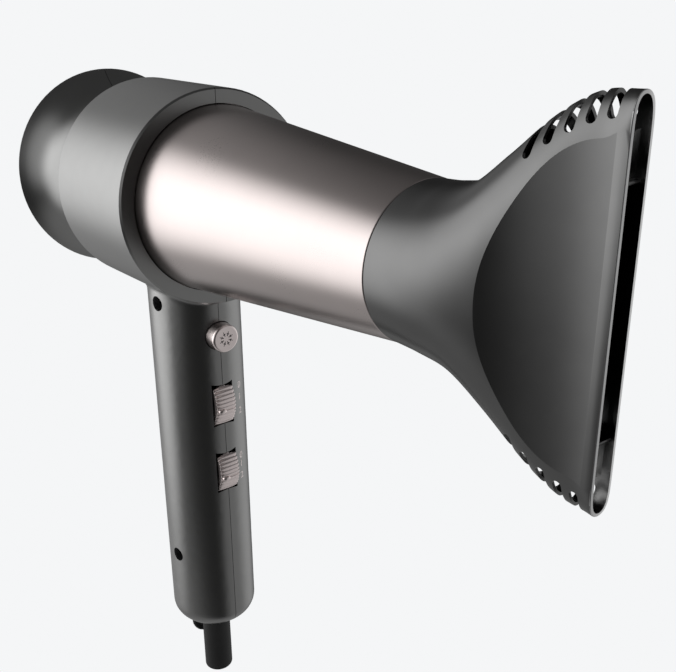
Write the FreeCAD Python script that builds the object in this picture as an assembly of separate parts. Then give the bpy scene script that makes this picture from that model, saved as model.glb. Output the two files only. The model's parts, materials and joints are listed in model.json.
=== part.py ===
"""Hand-held hair dryer with a concentrator nozzle, as separate solids in millimetres.

The origin is the middle of the grip, on the handle's centre line. +Z runs up the handle,
+X is the way the air blows and -Y is the dryer's left side. One STEP file is written for
each sub-part.
"""
import FreeCAD, Part
import os
from math import cos, pi, radians, sin, sqrt

# ---------------------------------------------------------------- driving dimensions
BARREL_Z = 130.0            # barrel axis above the middle of the grip
WALL = 2.2                  # wall of the housing shells
SEAM = 0.12                 # each shell stops this far from the middle plane
FIT = 0.15                  # gap between neighbouring pieces that do not move
FREE = 0.35                 # gap around pieces that move

COLLAR_REAR_X, COLLAR_FRONT_X = -30.3, 27.7
COLLAR_REAR_R, COLLAR_R = 43.7, 43.0
NECK_R = 33.6               # outside of the neck between bell and collar
BELL_RIM_X, BELL_RIM_R = -73.8, 45.3
FLARE_R = 25.4              # the bell's side curves out at this radius
FLARE_X = -51.1             # where that curve leaves the neck

BARREL_BASE_R, MOUTH_R = 36.8, 25.1
MOUTH_X = 146.1
BARREL_WALL = 1.8

GRIP_A, GRIP_B = 20.45, 19.75    # handle half widths along X and Y
GRIP_END = 211.0                 # handle's foot, below the barrel axis
FOOT_ROUND = 8.0

BUTTON_DROP, BUTTON_R = 59.7, 6.2
BUTTON_FACE_X = 25.8
WHEEL_DROPS = {"speed": 92.0, "heat": 125.2}
WHEEL_X, WHEEL_R, WHEEL_HALF = 9.05, 14.4, 4.8
SCREW_X, SCREW_DROPS = 3.0, (45.8, 171.0)
SCREW_HOLE_R, SCREW_SEAT_Y = 3.3, -8.0
SCREW_HEAD_R, SCREW_SHANK_R = 2.8, 1.5

SLEEVE_R, SLEEVE_END, CORD_R = 6.85, 247.0, 3.6
LOOP_X, LOOP_HALF, LOOP_BAR, LOOP_THICK = -9.5, 8.3, 3.2, 2.6
LOOP_END = 231.5

NOZZLE_REAR_X, NOZZLE_FRONT_X = 146.5, 212.6
NOZZLE_WALL = 1.0
RIM_HALF = 4.32                  # half width of the mouth
VENT_X, VENT_PITCH, VENT_W, VENTS = 187.8, 4.87, 2.7, 5
RIB_Z = 33.0

DUCT_R, DUCT_BORE = 30.6, 29.2
DUCT_REAR_X, DUCT_FRONT_X = -50.0, 14.0
MAGNET_BORE, ARMATURE_R, COMMUTATOR_R = 10.6, 9.6, 3.1
MOTOR_R, MOTOR_BORE = 14.2, 13.2
MOTOR_REAR_X, MOTOR_FRONT_X = -14.0, 9.4
CUP_R, STATOR_VANES = 16.2, 9
BUSHING_R, BUSHING_LENGTH = 2.5, 3.2
FAN_TIP_R, FAN_HUB_R, FAN_BLADES = 28.5, 11.5, 7
FAN_REAR_X, FAN_NOSE = -40.0, 4.5
FAN_BLADE_THICK, FAN_BLADE_PITCH = 1.1, 38.0
SHAFT_R = 1.15
RUNNING = 0.04                   # radial gap of a shaft in its bushing
PRESS_GAP = 0.02                 # radial gap of what is pressed on the shaft

os.makedirs("parts", exist_ok=True)


# ---------------------------------------------------------------- helpers
def v(x=0.0, y=0.0, z=0.0):
    return FreeCAD.Vector(x, y, z)


def rod(x0, x1, r, y=0.0, z=0.0):
    """Cylinder along X from x0 to x1, its axis at (y, z) from the barrel axis."""
    return Part.makeCylinder(r, x1 - x0, v(x0, y, BARREL_Z + z), v(1))


def tube(x0, x1, outer, inner, y=0.0, z=0.0):
    return rod(x0, x1, outer, y, z).cut(rod(x0 - 1, x1 + 1, inner, y, z))


def cone_shell(x0, x1, r0, r1, wall):
    """Tapered tube along the barrel axis, r0 and r1 outside at its two ends."""
    outer = Part.makeCone(r0, r1, x1 - x0, v(x0, 0, BARREL_Z), v(1))
    return outer.cut(Part.makeCone(r0 - wall, r1 - wall, x1 - x0, v(x0, 0, BARREL_Z), v(1)))


def cross_pin(x, z, r, y0, y1):
    """Cylinder along Y at (x, z), z from the barrel axis."""
    return Part.makeCylinder(r, y1 - y0, v(x, y0, BARREL_Z + z), v(0, 1))


def upright(x, y, r, z0, z1):
    """Cylinder along Z at (x, y), heights from the barrel axis."""
    return Part.makeCylinder(r, z1 - z0, v(x, y, BARREL_Z + z0), v(0, 0, 1))


def block(x0, x1, y0, y1, z0, z1):
    """Box by its limits, heights from the barrel axis."""
    return Part.makeBox(x1 - x0, y1 - y0, z1 - z0, v(x0, y0, BARREL_Z + z0))


def fused(solids):
    first, *rest = solids
    return first.multiFuse(rest).removeSplitter() if rest else first


def around_barrel(shape, angle):
    copy = shape.copy()
    copy.rotate(v(0, 0, BARREL_Z), v(1), angle)
    return copy


def run(points):
    """Straight edges through (x, r) points of a barrel profile."""
    at = [v(x, 0, BARREL_Z + r) for x, r in points]
    return [Part.LineSegment(a, b).toShape() for a, b in zip(at, at[1:])]


def bow(a, middle, b):
    """Arc through three (x, r) points of a barrel profile."""
    return [Part.Arc(*[v(x, 0, BARREL_Z + r) for x, r in (a, middle, b)]).toShape()]


def turned(edges):
    wire = Part.Wire(Part.__sortEdges__(edges))
    return Part.Face(wire).revolve(v(0, 0, BARREL_Z), v(1), 360)


def oval(a, b, z0, z1):
    """Elliptical column round the handle's centre line."""
    base = Part.Ellipse(v(0, 0, BARREL_Z + z0), a, b).toShape()
    return Part.Face(Part.Wire(base)).extrude(v(0, 0, z1 - z0))


def save(name, shape):
    solids = shape.Solids
    body = solids[0] if len(solids) == 1 else Part.makeCompound(solids)
    assert solids and all(s.isValid() and s.Volume > 0 for s in solids), name
    body.exportStep(f"parts/{name}.step")
    print(f"{name}: {len(solids)} solid(s), {sum(s.Volume for s in solids):.0f} mm3")


def barrel_r(x):
    """Outside radius of the tapered barrel at x."""
    share = (x - COLLAR_FRONT_X) / (MOUTH_X - COLLAR_FRONT_X)
    return BARREL_BASE_R + (MOUTH_R - BARREL_BASE_R) * share


# ---------------------------------------------------------------- housing shells
BELL_LIP = 1.3
COLLAR_EDGE = 0.7
NECK_FILLET = 3.5           # where the handle meets the collar
LEFT_BOSS_R, RIGHT_BOSS_R = 5.0, 4.0


def flare_r(x, inset=0.0):
    """Radius of the bell's trumpet curve at x, or of its inner face, inset from it."""
    return NECK_R + FLARE_R - sqrt((FLARE_R + inset) ** 2 - (x - FLARE_X) ** 2)


def flare(x_end, inset=0.0):
    """The bell's curve from x_end to the neck."""
    middle = (x_end + FLARE_X) / 2
    ends = [(x, flare_r(x, inset)) for x in (x_end, middle, FLARE_X)]
    return bow(*ends)


def housing_outer():
    """Bell, neck, collar band and its flat front, with the oval handle under them."""
    rim = (BELL_RIM_X, BELL_RIM_R - BELL_LIP)
    crest = (BELL_RIM_X + BELL_LIP, flare_r(BELL_RIM_X + BELL_LIP))
    edges = run([(BELL_RIM_X, 0), rim])
    edges += bow(rim, (BELL_RIM_X + 0.38, BELL_RIM_R - 0.38), crest)
    edges += flare(BELL_RIM_X + BELL_LIP)
    edges += run([(FLARE_X, NECK_R), (COLLAR_REAR_X, NECK_R),
                  (COLLAR_REAR_X, COLLAR_REAR_R - COLLAR_EDGE),
                  (COLLAR_REAR_X + COLLAR_EDGE, COLLAR_REAR_R),
                  (COLLAR_FRONT_X - COLLAR_EDGE, COLLAR_R),
                  (COLLAR_FRONT_X, COLLAR_R - COLLAR_EDGE),
                  (COLLAR_FRONT_X, 0), (BELL_RIM_X, 0)])
    handle = oval(GRIP_A, GRIP_B, -GRIP_END, -36)
    foot = min(handle.Edges, key=lambda e: e.BoundBox.ZMax)
    handle = handle.makeFillet(FOOT_ROUND, [foot])
    whole = turned(edges).fuse(handle)
    junction = [e for e in whole.Edges if e.BoundBox.ZMax < BARREL_Z - 36
                and e.BoundBox.ZMin > BARREL_Z - 46 and e.BoundBox.XLength > 30
                and e.BoundBox.XMax < COLLAR_FRONT_X - 3]
    return whole.makeFillet(NECK_FILLET, junction)


def housing_inner():
    """The space inside the shells."""
    mouth_r = flare_r(BELL_RIM_X, WALL)
    edges = run([(BELL_RIM_X - 2, 0), (BELL_RIM_X - 2, mouth_r), (BELL_RIM_X, mouth_r)])
    edges += flare(BELL_RIM_X, WALL)
    edges += run([(FLARE_X, NECK_R - WALL), (COLLAR_REAR_X + WALL, NECK_R - WALL),
                  (COLLAR_REAR_X + WALL, COLLAR_R - WALL),
                  (COLLAR_FRONT_X - WALL, COLLAR_R - WALL), (COLLAR_FRONT_X - WALL, 0),
                  (BELL_RIM_X - 2, 0)])
    handle = oval(GRIP_A - WALL, GRIP_B - WALL, -GRIP_END + 2.5, -37)
    foot = min(handle.Edges, key=lambda e: e.BoundBox.ZMax)
    return turned(edges).fuse(handle.makeFillet(FOOT_ROUND - WALL, [foot]))


def loop_bar(z0, grow=0.0):
    """The hanging loop: a flat bar bent into a U behind the cord sleeve."""
    half, thick = LOOP_HALF + grow, LOOP_THICK / 2 + grow
    centre_z = -LOOP_END + LOOP_HALF
    x0, x1 = LOOP_X - thick, LOOP_X + thick
    bow_part = tube(x0, x1, half, LOOP_HALF - LOOP_BAR - grow, 0, centre_z)
    bow_part = bow_part.common(block(x0 - 1, x1 + 1, -20, 20, centre_z - 20, centre_z))
    inner = LOOP_HALF - LOOP_BAR - grow
    legs = [block(x0, x1, *sorted((side * inner, side * half)), centre_z, z0) for side in (-1, 1)]
    return fused([bow_part, *legs])


def thumbwheel_cut(drop):
    r, half = WHEEL_R + FREE, WHEEL_HALF + FREE
    return cross_pin(WHEEL_X, -drop, r, -half, half)


def make_housing():
    outer, inner = housing_outer(), housing_inner()
    shell = outer.cut(inner)
    openings = [rod(COLLAR_FRONT_X - 5, COLLAR_FRONT_X + 1, barrel_r(COLLAR_FRONT_X - WALL) + FIT),
                rod(10, 30, BUTTON_R + FREE, 0, -BUTTON_DROP),
                upright(0, 0, SLEEVE_R + FIT, -GRIP_END - 5, -GRIP_END + 12),
                loop_bar(-GRIP_END + 8, FIT)]
    openings += [thumbwheel_cut(drop) for drop in WHEEL_DROPS.values()]
    for opening in openings:
        shell = shell.cut(opening)
    near = block(-100, 60, -60, -SEAM, -260, 60)
    far = block(-100, 60, SEAM, 60, -260, 60)
    left, right = shell.common(near), shell.common(far)
    for drop in SCREW_DROPS:
        boss = cross_pin(SCREW_X, -drop, LEFT_BOSS_R, -25, -SEAM).common(outer)
        left = left.fuse(boss).cut(cross_pin(SCREW_X, -drop, SCREW_HOLE_R, -30, SCREW_SEAT_Y))
        left = left.cut(cross_pin(SCREW_X, -drop, SCREW_SHANK_R + 0.2, -10, 5))
        boss = cross_pin(SCREW_X, -drop, RIGHT_BOSS_R, SEAM, 25).common(outer)
        right = right.fuse(boss).cut(cross_pin(SCREW_X, -drop, SCREW_SHANK_R + 0.05, -1, 14))
    save("housing_left", left)
    save("housing_right", right)


def make_handle_screws():
    screws = []
    for drop in SCREW_DROPS:
        head = cross_pin(SCREW_X, -drop, SCREW_HEAD_R, SCREW_SEAT_Y - 2.4, SCREW_SEAT_Y)
        cross = [block(SCREW_X - w, SCREW_X + w, -11, -9.2, -drop - h, -drop + h)
                 for w, h in ((0.4, 1.8), (1.8, 0.4))]
        head = head.cut(cross[0]).cut(cross[1])
        screws.append(head.fuse(cross_pin(SCREW_X, -drop, SCREW_SHANK_R, SCREW_SEAT_Y, 12)))
    save("handle_screws", Part.makeCompound(screws))


# ---------------------------------------------------------------- barrel and heater
SLEEVE_FLANGE, SLEEVE_FLANGE_R = 1.6, 39.4


def make_barrel():
    """Tapered metal sleeve with the flange that the housing's front wall traps."""
    seat = COLLAR_FRONT_X - WALL - FIT
    outer = Part.makeCone(barrel_r(seat), MOUTH_R, MOUTH_X - seat, v(seat, 0, BARREL_Z), v(1))
    flange = rod(seat - SLEEVE_FLANGE, seat, SLEEVE_FLANGE_R)
    bore = Part.makeCone(barrel_r(seat - 2) - BARREL_WALL, MOUTH_R - BARREL_WALL,
                         MOUTH_X - seat + 2, v(seat - 2, 0, BARREL_Z), v(1))
    save("barrel_sleeve", outer.fuse(flange).cut(bore))


TUBE_REAR_X, TUBE_FRONT_X = 31.0, 125.0
LINER_GAP, LINER_WALL = 1.2, 0.6
BOARD_REAR_X, BOARD_FRONT_X, BOARD_THICK = 36.0, 120.0, 1.0
BOARD_GAP = 1.5             # between the boards and the liner's outside
COIL_INSET, COIL_WIRE_R = 4.5, 1.2
COIL_STATIONS = [44 + 9 * i for i in range(8)]


def heater_r(x):
    """Outside radius of the mica liner, which follows the barrel's taper."""
    return barrel_r(x) - BARREL_WALL - LINER_GAP


def make_heater():
    liner = cone_shell(TUBE_REAR_X, TUBE_FRONT_X, heater_r(TUBE_REAR_X), heater_r(TUBE_FRONT_X), LINER_WALL)
    save("heater_liner", liner)
    x0, x1 = BOARD_REAR_X, BOARD_FRONT_X
    h0, h1 = heater_r(x0) - BOARD_GAP, heater_r(x1) - BOARD_GAP
    outline = [v(x0, 0, BARREL_Z - h0), v(x0, 0, BARREL_Z + h0), v(x1, 0, BARREL_Z + h1),
               v(x1, 0, BARREL_Z - h1), v(x0, 0, BARREL_Z - h0)]
    board = Part.Face(Part.makePolygon(outline)).extrude(v(0, BOARD_THICK))
    board.translate(v(0, -BOARD_THICK / 2))
    boards = board.fuse(around_barrel(board, 90))
    coils = []
    for x in COIL_STATIONS:
        r = heater_r(x) - COIL_INSET
        coils.append(Part.makeTorus(r, COIL_WIRE_R, v(x, 0, BARREL_Z), v(1)))
        boards = boards.cut(Part.makeTorus(r, COIL_WIRE_R + 0.25, v(x, 0, BARREL_Z), v(1)))
    save("heater_boards", boards)
    save("heater_coils", Part.makeCompound(coils))
    save("thermal_cutout", block(98, 108, 1.0, 7.0, 3.0, 11.0))
    save("thermal_fuse", rod(94, 106, 1.6, 3.6, -6.5))


OUTLET_REAR_X, OUTLET_FRONT_X = 127.5, 130.5
OUTLET_RINGS, OUTLET_BAR, OUTLET_HUB_R = (24.4, 17.0, 10.0), 1.2, 3.6


def make_outlet_grille():
    x0, x1 = OUTLET_REAR_X, OUTLET_FRONT_X
    rings = [tube(x0, x1, r, r - OUTLET_BAR) for r in OUTLET_RINGS]
    hub = rod(x0, x1, OUTLET_HUB_R)
    spokes = [around_barrel(block(x0 + 0.4, x1 - 0.4, -0.7, 0.7, 3.0, 23.6), 60 * i) for i in range(6)]
    save("outlet_grille", fused([hub, *rings, *spokes]))


# ---------------------------------------------------------------- fan and motor
def vane(x0, x1, r0, r1, thick, pitch, angle):
    """Flat blade standing out from the barrel axis, pitched about its own radius."""
    middle = (x0 + x1) / 2
    blade = Part.makeBox(x1 - x0, thick, r1 - r0, v(x0, -thick / 2, BARREL_Z + r0))
    blade.rotate(v(middle, 0, BARREL_Z), v(0, 0, 1), pitch)
    return around_barrel(blade, angle)


def make_duct():
    wall = tube(DUCT_REAR_X, DUCT_FRONT_X, DUCT_R, DUCT_BORE)
    cup_floor = MOTOR_FRONT_X + 0.2
    cup = tube(-15, 11, CUP_R, MOTOR_R + 0.2).fuse(rod(cup_floor, 11, CUP_R).cut(rod(8, 12, 6)))
    vanes = [vane(-13, 9, CUP_R - 0.7, DUCT_R - 0.4, 1.2, 14, 360 / STATOR_VANES * i)
             for i in range(STATOR_VANES)]
    save("fan_duct", fused([wall, cup, *vanes]))
    rings = [tube(x, x + 3, NECK_R - WALL - 0.1, DUCT_R + 0.1)
             for x in (DUCT_REAR_X + 2, DUCT_REAR_X + 16)]
    save("duct_damping_rings", Part.makeCompound(rings))


def make_motor():
    can = tube(MOTOR_REAR_X, MOTOR_FRONT_X, MOTOR_R, MOTOR_BORE)
    can = can.fuse(tube(MOTOR_FRONT_X - 1.2, MOTOR_FRONT_X, MOTOR_BORE + 0.2, BUSHING_R + 0.1))
    save("motor_can", can)
    cap_front = MOTOR_REAR_X - 0.2
    save("motor_end_cap", fused([tube(cap_front - 2, cap_front, MOTOR_R, BUSHING_R + 0.1),
                                 tube(cap_front, cap_front + 1.6, MOTOR_BORE - 0.3, 11.6)]))
    bushings = [tube(x0, x0 + BUSHING_LENGTH, BUSHING_R, SHAFT_R + RUNNING) for x0 in (-17.0, 7.6)]
    save("motor_bushings", Part.makeCompound(bushings))
    half_ring = tube(-9, 6, MOTOR_BORE - 0.1, MAGNET_BORE)
    magnets = [around_barrel(half_ring.common(block(-9, 6, -20, 20, 4.5, 20)), a) for a in (0, 180)]
    save("motor_magnets", Part.makeCompound(magnets))
    brushes = [block(-12.2, -10.2, *sorted((s * 3.6, s * 8.5)), -1.4, 1.4) for s in (-1, 1)]
    save("carbon_brushes", Part.makeCompound(brushes))


def make_rotor():
    save("motor_shaft", rod(-44, 12.5, SHAFT_R))
    slots = [around_barrel(block(-9, 7, -1.0, 1.0, 4.8, 12), 60 * i) for i in range(6)]
    stack = rod(-7.5, 4.5, ARMATURE_R).cut(rod(-9, 7, SHAFT_R + PRESS_GAP))
    for slot in slots:
        stack = stack.cut(slot)
    save("armature", stack)
    save("commutator", tube(-12.4, -9.2, COMMUTATOR_R, SHAFT_R + PRESS_GAP))
    hub = rod(FAN_REAR_X, -20, FAN_HUB_R).cut(rod(-36, -19, FAN_HUB_R - 1.6))
    boss = rod(FAN_REAR_X, -22, 3.0)
    nose = Part.makeCone(5.0, FAN_HUB_R, FAN_NOSE, v(FAN_REAR_X - FAN_NOSE, 0, BARREL_Z), v(1))
    blades = [vane(-38, -22, FAN_HUB_R - 1.0, FAN_TIP_R + 1, FAN_BLADE_THICK, FAN_BLADE_PITCH,
                   360 / FAN_BLADES * i) for i in range(FAN_BLADES)]
    blades = [b.common(tube(-46, -16, FAN_TIP_R, FAN_HUB_R - 1.2)) for b in blades]
    fan = fused([hub, boss, nose, *blades]).cut(rod(-45, -18, SHAFT_R + PRESS_GAP))
    save("fan_impeller", fan)


# ---------------------------------------------------------------- rear grille
GRILLE_REAR_X, GRILLE_FACE_T = -73.0, 1.6
GRILLE_SKIRT_R, GRILLE_SKIRT_X = 34.9, -66.2
GRILLE_RINGS, GRILLE_BAR, GRILLE_SPOKES = (8.5, 12, 15.5, 19, 22.5, 26, 29.5, 33), 1.4, 8


def make_rear_grille():
    """Round lift-off grille seated in the bell, with the filter mesh in its skirt."""
    x0, x1 = GRILLE_REAR_X, GRILLE_REAR_X + GRILLE_FACE_T
    flange = Part.makeCone(flare_r(x0, WALL) - FREE, flare_r(x1, WALL) - FREE - 0.1, x1 - x0,
                           v(x0, 0, BARREL_Z), v(1)).cut(rod(x0 - 1, x1 + 1, 37.0))
    skirt = tube(x0 + 0.6, GRILLE_SKIRT_X, GRILLE_SKIRT_R, GRILLE_SKIRT_R - 1.2)
    rings = [tube(x0 + 0.3, x1, r, r - GRILLE_BAR) for r in GRILLE_RINGS]
    hub = rod(x0 + 0.3, x1, 5.6)
    spokes = [around_barrel(block(x0 + 0.5, x1 + 0.6, -GRILLE_BAR / 2, GRILLE_BAR / 2, 4.5, 37.6),
                            360 / GRILLE_SPOKES * i) for i in range(GRILLE_SPOKES)]
    save("rear_grille", fused([flange, skirt, hub, *rings, *spokes]))
    save("filter_mesh", rod(-69.4, -69.0, GRILLE_SKIRT_R - 1.2 - FIT))


# ---------------------------------------------------------------- controls in the handle
def coil_spring(x0, x1, r, wire_r, turns, z):
    """Open helical spring along X, its axis z from the barrel axis."""
    height = x1 - x0
    path = Part.makeHelix(height / turns, height, r)
    end = Part.Circle(v(r), v(0, 1, height / turns / (2 * pi * r)), wire_r).toShape()
    spring = Part.Wire(path).makePipeShell([Part.Wire(end)], True, True)
    spring.rotate(v(), v(0, 1), 90)
    spring.translate(v(x0, 0, BARREL_Z + z))
    return spring


BUTTON_FOOT_X, BUTTON_FLANGE_R, BUTTON_EDGE = 14.6, 7.4, 1.1
SPRING_R, SPRING_WIRE_R, SPRING_TURNS = 3.2, 0.3, 8


def make_button():
    x0, face = BUTTON_FOOT_X, BUTTON_FACE_X
    z = -BUTTON_DROP
    cap = rod(x0, face, BUTTON_R, 0, z)
    edge = max(cap.Edges, key=lambda e: e.BoundBox.XMin)
    cap = cap.makeFillet(BUTTON_EDGE, [edge])
    cap = cap.cut(rod(x0 - 1, face - 1.8, BUTTON_R - 1.3, 0, z))
    flange = tube(x0 - 1.2, x0 + 0.1, BUTTON_FLANGE_R, BUTTON_R - 1.3, 0, z)
    stem = rod(12.9, face - 1.0, 1.6, 0, z)
    save("cool_shot_button", fused([cap, flange, stem]))
    save("button_spring", coil_spring(10.4, 23.5, SPRING_R, SPRING_WIRE_R, SPRING_TURNS, z))


def sector(r, half, low, high, x, z):
    """Solid wedge of a drum about a Y axis, between two angles from +X towards +Z."""
    drum = cross_pin(x, z, r, -half, half)
    reach = 2.2 * r
    angles = [radians(low + (high - low) * i / 4) for i in range(5)]
    points = [v(x, -half - 1, BARREL_Z + z)]
    points += [v(x + reach * cos(a), -half - 1, BARREL_Z + z + reach * sin(a)) for a in angles]
    wedge = Part.Face(Part.makePolygon([*points, points[0]])).extrude(v(0, 2 * half + 2))
    return drum.common(wedge)


RIM_LOW, RIM_HIGH, TAB_HIGH = -64.0, 33.0, 70.0
WHEEL_RIB_STEP, WHEEL_GROOVE_R = 7.2, 0.9
POINTER_ANGLE, POINTER_HALF_ANGLE, POINTER_RISE = -8.0, 3.6, 0.8
RIM_THICK, WHEEL_HUB_R, AXLE_R = 3.0, 3.0, 1.25


def make_thumbwheel(name, drop):
    """Ribbed thumbwheel sector with a raised pointer, on a hub with a bore."""
    z = -drop
    rim = sector(WHEEL_R, WHEEL_HALF, RIM_LOW, RIM_HIGH, WHEEL_X, z)
    rim = rim.cut(cross_pin(WHEEL_X, z, WHEEL_R - RIM_THICK, -10, 10))
    groove_r = WHEEL_R + 0.55
    count = int((RIM_HIGH - RIM_LOW) / WHEEL_RIB_STEP)
    for i in range(count):
        angle = RIM_LOW + WHEEL_RIB_STEP * (i + 0.5)
        if abs(angle - POINTER_ANGLE) < 0.7 * WHEEL_RIB_STEP:
            continue
        a = radians(angle)
        rim = rim.cut(cross_pin(WHEEL_X + groove_r * cos(a), z + groove_r * sin(a),
                                WHEEL_GROOVE_R, -10, 10))
    web = sector(WHEEL_R - 2.5, 1.2, RIM_LOW + 4, RIM_HIGH - 2, WHEEL_X, z)
    tab = sector(WHEEL_R - 0.9, 1.6, RIM_HIGH - 2, TAB_HIGH, WHEEL_X, z)
    tab = tab.cut(cross_pin(WHEEL_X, z, WHEEL_R - RIM_THICK, -10, 10))
    hub = cross_pin(WHEEL_X, z, WHEEL_HUB_R, -WHEEL_HALF, WHEEL_HALF)
    pointer = sector(WHEEL_R + POINTER_RISE, WHEEL_HALF - 0.6, POINTER_ANGLE - POINTER_HALF_ANGLE,
                     POINTER_ANGLE + POINTER_HALF_ANGLE, WHEEL_X, z)
    pointer = pointer.cut(cross_pin(WHEEL_X, z, WHEEL_R - 1.0, -10, 10))
    wheel = fused([rim, web, tab, hub, pointer])
    save(f"{name}_thumbwheel", wheel.cut(cross_pin(WHEEL_X, z, AXLE_R + 0.05, -10, 10)))


def make_switchgear():
    """Bracket in the handle, the two rotary switches, the button switch and the axles."""
    plate = block(-6.0, -4.6, -8.4, 8.4, -140, -52.5)
    parts = [plate]
    for drop in WHEEL_DROPS.values():
        for side in (-1, 1):
            parts.append(block(-4.7, 12.5, *sorted((side * 5.6, side * 7.0)), -drop - 3.5, -drop + 3.5))
    button_z = -BUTTON_DROP
    for side in (-1, 1):
        parts.append(block(-4.7, 9.0, *sorted((side * 4.4, side * 5.8)), button_z - 6, button_z + 6))
    parts.append(block(8.7, 9.9, -5.8, 5.8, button_z - 6, button_z + 6))
    bracket = fused(parts)
    for drop in WHEEL_DROPS.values():
        bracket = bracket.cut(cross_pin(WHEEL_X, -drop, AXLE_R + 0.01, -10, 10))
    bracket = bracket.cut(rod(0, 12, 1.5, 0, button_z))
    save("switch_bracket", bracket)
    axles = [cross_pin(WHEEL_X, -drop, AXLE_R, -7.4, 7.4) for drop in WHEEL_DROPS.values()]
    save("thumbwheel_axles", Part.makeCompound(axles))
    for name, drop in WHEEL_DROPS.items():
        body = block(-4.45, 4.4, -5.3, 5.3, -drop - 8, -drop + 8)
        body = body.cut(cross_pin(WHEEL_X, -drop, WHEEL_R - 9.0, -10, 10))
        save(f"{name}_switch", body)
    plunger = rod(6.0, 9.9, 1.1, 0, button_z)
    save("cool_shot_switch", block(-4.45, 7.6, -3.6, 3.6, button_z - 5.5, button_z + 5.5).fuse(plunger))


def make_electrics():
    save("control_board", block(-9.9, -8.3, -12.5, 12.5, -150, -66))
    save("interference_capacitor", block(-15.0, -10.0, -5.5, 5.5, -122, -106))
    diodes = [upright(-11.6, y, 1.4, z, z + 5) for z in (-98, -88) for y in (-4, 4)]
    save("rectifier_diodes", Part.makeCompound(diodes))
    terminal = block(-4.0, 8.0, -9.0, 9.0, -161, -150)
    for y in (-5.6, 0.0, 5.6):
        terminal = terminal.cut(rod(3, 9, 1.7, y, -155.5))
    save("terminal_block", terminal)
    save("ion_module", block(-4, 17.6, -8, 8, 32.6, 38.6))
    save("ion_emitter", fused([rod(17.7, 24, 1.3, 0, 33.0), rod(24, 28, 0.5, 0, 33.0)]))
    save("motor_leads", Part.makeCompound([upright(-9.2, y, 0.9, -64, -32) for y in (-6, 6)]))
    save("heater_leads", Part.makeCompound([upright(12.0, y, 0.9, -84, -36) for y in (-10.6, 10.6)]))


SLEEVE_TOP_Z, SLEEVE_EDGE, SLEEVE_FOOT_R = -196.0, 1.2, 8.2
CLAMP_LOW_Z, CLAMP_HIGH_Z = -193.0, -184.0
CLAMP_SCREW_Y, CLAMP_SCREW_R, CLAMP_HEAD_R = 8.0, 1.5, 2.9


def make_cord_fittings():
    """Strain relief, the clamp that holds a mains lead above it, and the hanging loop."""
    z_end = -SLEEVE_END
    sleeve = upright(0, 0, SLEEVE_R, z_end, SLEEVE_TOP_Z)
    low = min(sleeve.Edges, key=lambda e: e.BoundBox.ZMax)
    sleeve = sleeve.makeFillet(SLEEVE_EDGE, [low])
    flange = upright(0, 0, SLEEVE_FOOT_R, -GRIP_END + 2.7, -GRIP_END + 5.5)
    sleeve = sleeve.fuse(flange).cut(upright(0, 0, CORD_R, z_end - 1, SLEEVE_TOP_Z + 1))
    save("strain_relief", sleeve)
    clamp = block(-6.0, 6.0, -12, 12, CLAMP_LOW_Z, CLAMP_HIGH_Z)
    clamp = clamp.cut(upright(0, 0, CORD_R, CLAMP_LOW_Z - 1, CLAMP_HIGH_Z + 1))
    middle_z = (CLAMP_LOW_Z + CLAMP_HIGH_Z) / 2
    screw_ys = (-CLAMP_SCREW_Y, CLAMP_SCREW_Y)
    for y in screw_ys:
        clamp = clamp.cut(rod(-7, 7, CLAMP_SCREW_R + 0.1, y, middle_z))
    save("cord_clamp", clamp)
    screws = [rod(-9, 6.1, CLAMP_SCREW_R, y, middle_z).fuse(rod(6.1, 8.3, CLAMP_HEAD_R, y, middle_z))
              for y in screw_ys]
    save("clamp_screws", Part.makeCompound(screws))
    foot_z = -GRIP_END + 2.5 + 1.0
    loop = loop_bar(foot_z + 3.0)
    feet = [block(LOOP_X - 2.4, LOOP_X + 2.0, *sorted((side * 4.2, side * LOOP_HALF)),
                  foot_z, foot_z + 3.0) for side in (-1, 1)]
    save("hanging_loop", fused([loop, *feet]))


# ---------------------------------------------------------------- nozzle
NOZZLE_X = [146.5, 157.1, 168.2, 179.3, 190.4, 201.5, 212.6]
NOZZLE_HALF_H = [25.1, 25.9, 28.6, 37.5, 47.0, 52.9, 53.8]
NOZZLE_HALF_W = [25.1, 24.5, 22.3, 18.6, 13.6, 8.2, RIM_HALF]
NOZZLE_SQUARE = [2.0, 2.0, 2.05, 2.2, 2.9, 5.5, 24.0]    # 2 is an ellipse, more is a slot
SECTION_LEVELS = [0.0, 0.35, 0.62, 0.8, 0.9, 0.96, 0.99]


def nozzle_section(x, half_h, half_w, square):
    """Closed curve round the nozzle at x; its sides grow straight as it turns into a slot."""
    quarter = [(half_w * sqrt(1 - level ** square), half_h * level) for level in SECTION_LEVELS]
    upper = quarter + [(0.0, half_h)] + [(-y, z) for y, z in reversed(quarter)]
    lower = [(-y, -z) for y, z in upper[1:-1]]
    curve = Part.BSplineCurve()
    curve.interpolate([v(x, y, BARREL_Z + z) for y, z in upper + lower], PeriodicFlag=True)
    return Part.Wire(curve.toShape())


def nozzle_solid(inset):
    """The flared nozzle form, smaller all round by inset."""
    sections = []
    for x, h, w, square in zip(NOZZLE_X, NOZZLE_HALF_H, NOZZLE_HALF_W, NOZZLE_SQUARE):
        sections.append(nozzle_section(x, h - inset, w - inset, square))
    form = Part.makeLoft(sections, True, False)
    return form.common(scooped_sides(inset))


SCOOP_START_X, SCOOP_START_Y, STRIP_X, STRIP_Y = 181.9, 17.25, 210.4, 4.75
SCOOP_PULL = (193.9, 7.0)


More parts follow.
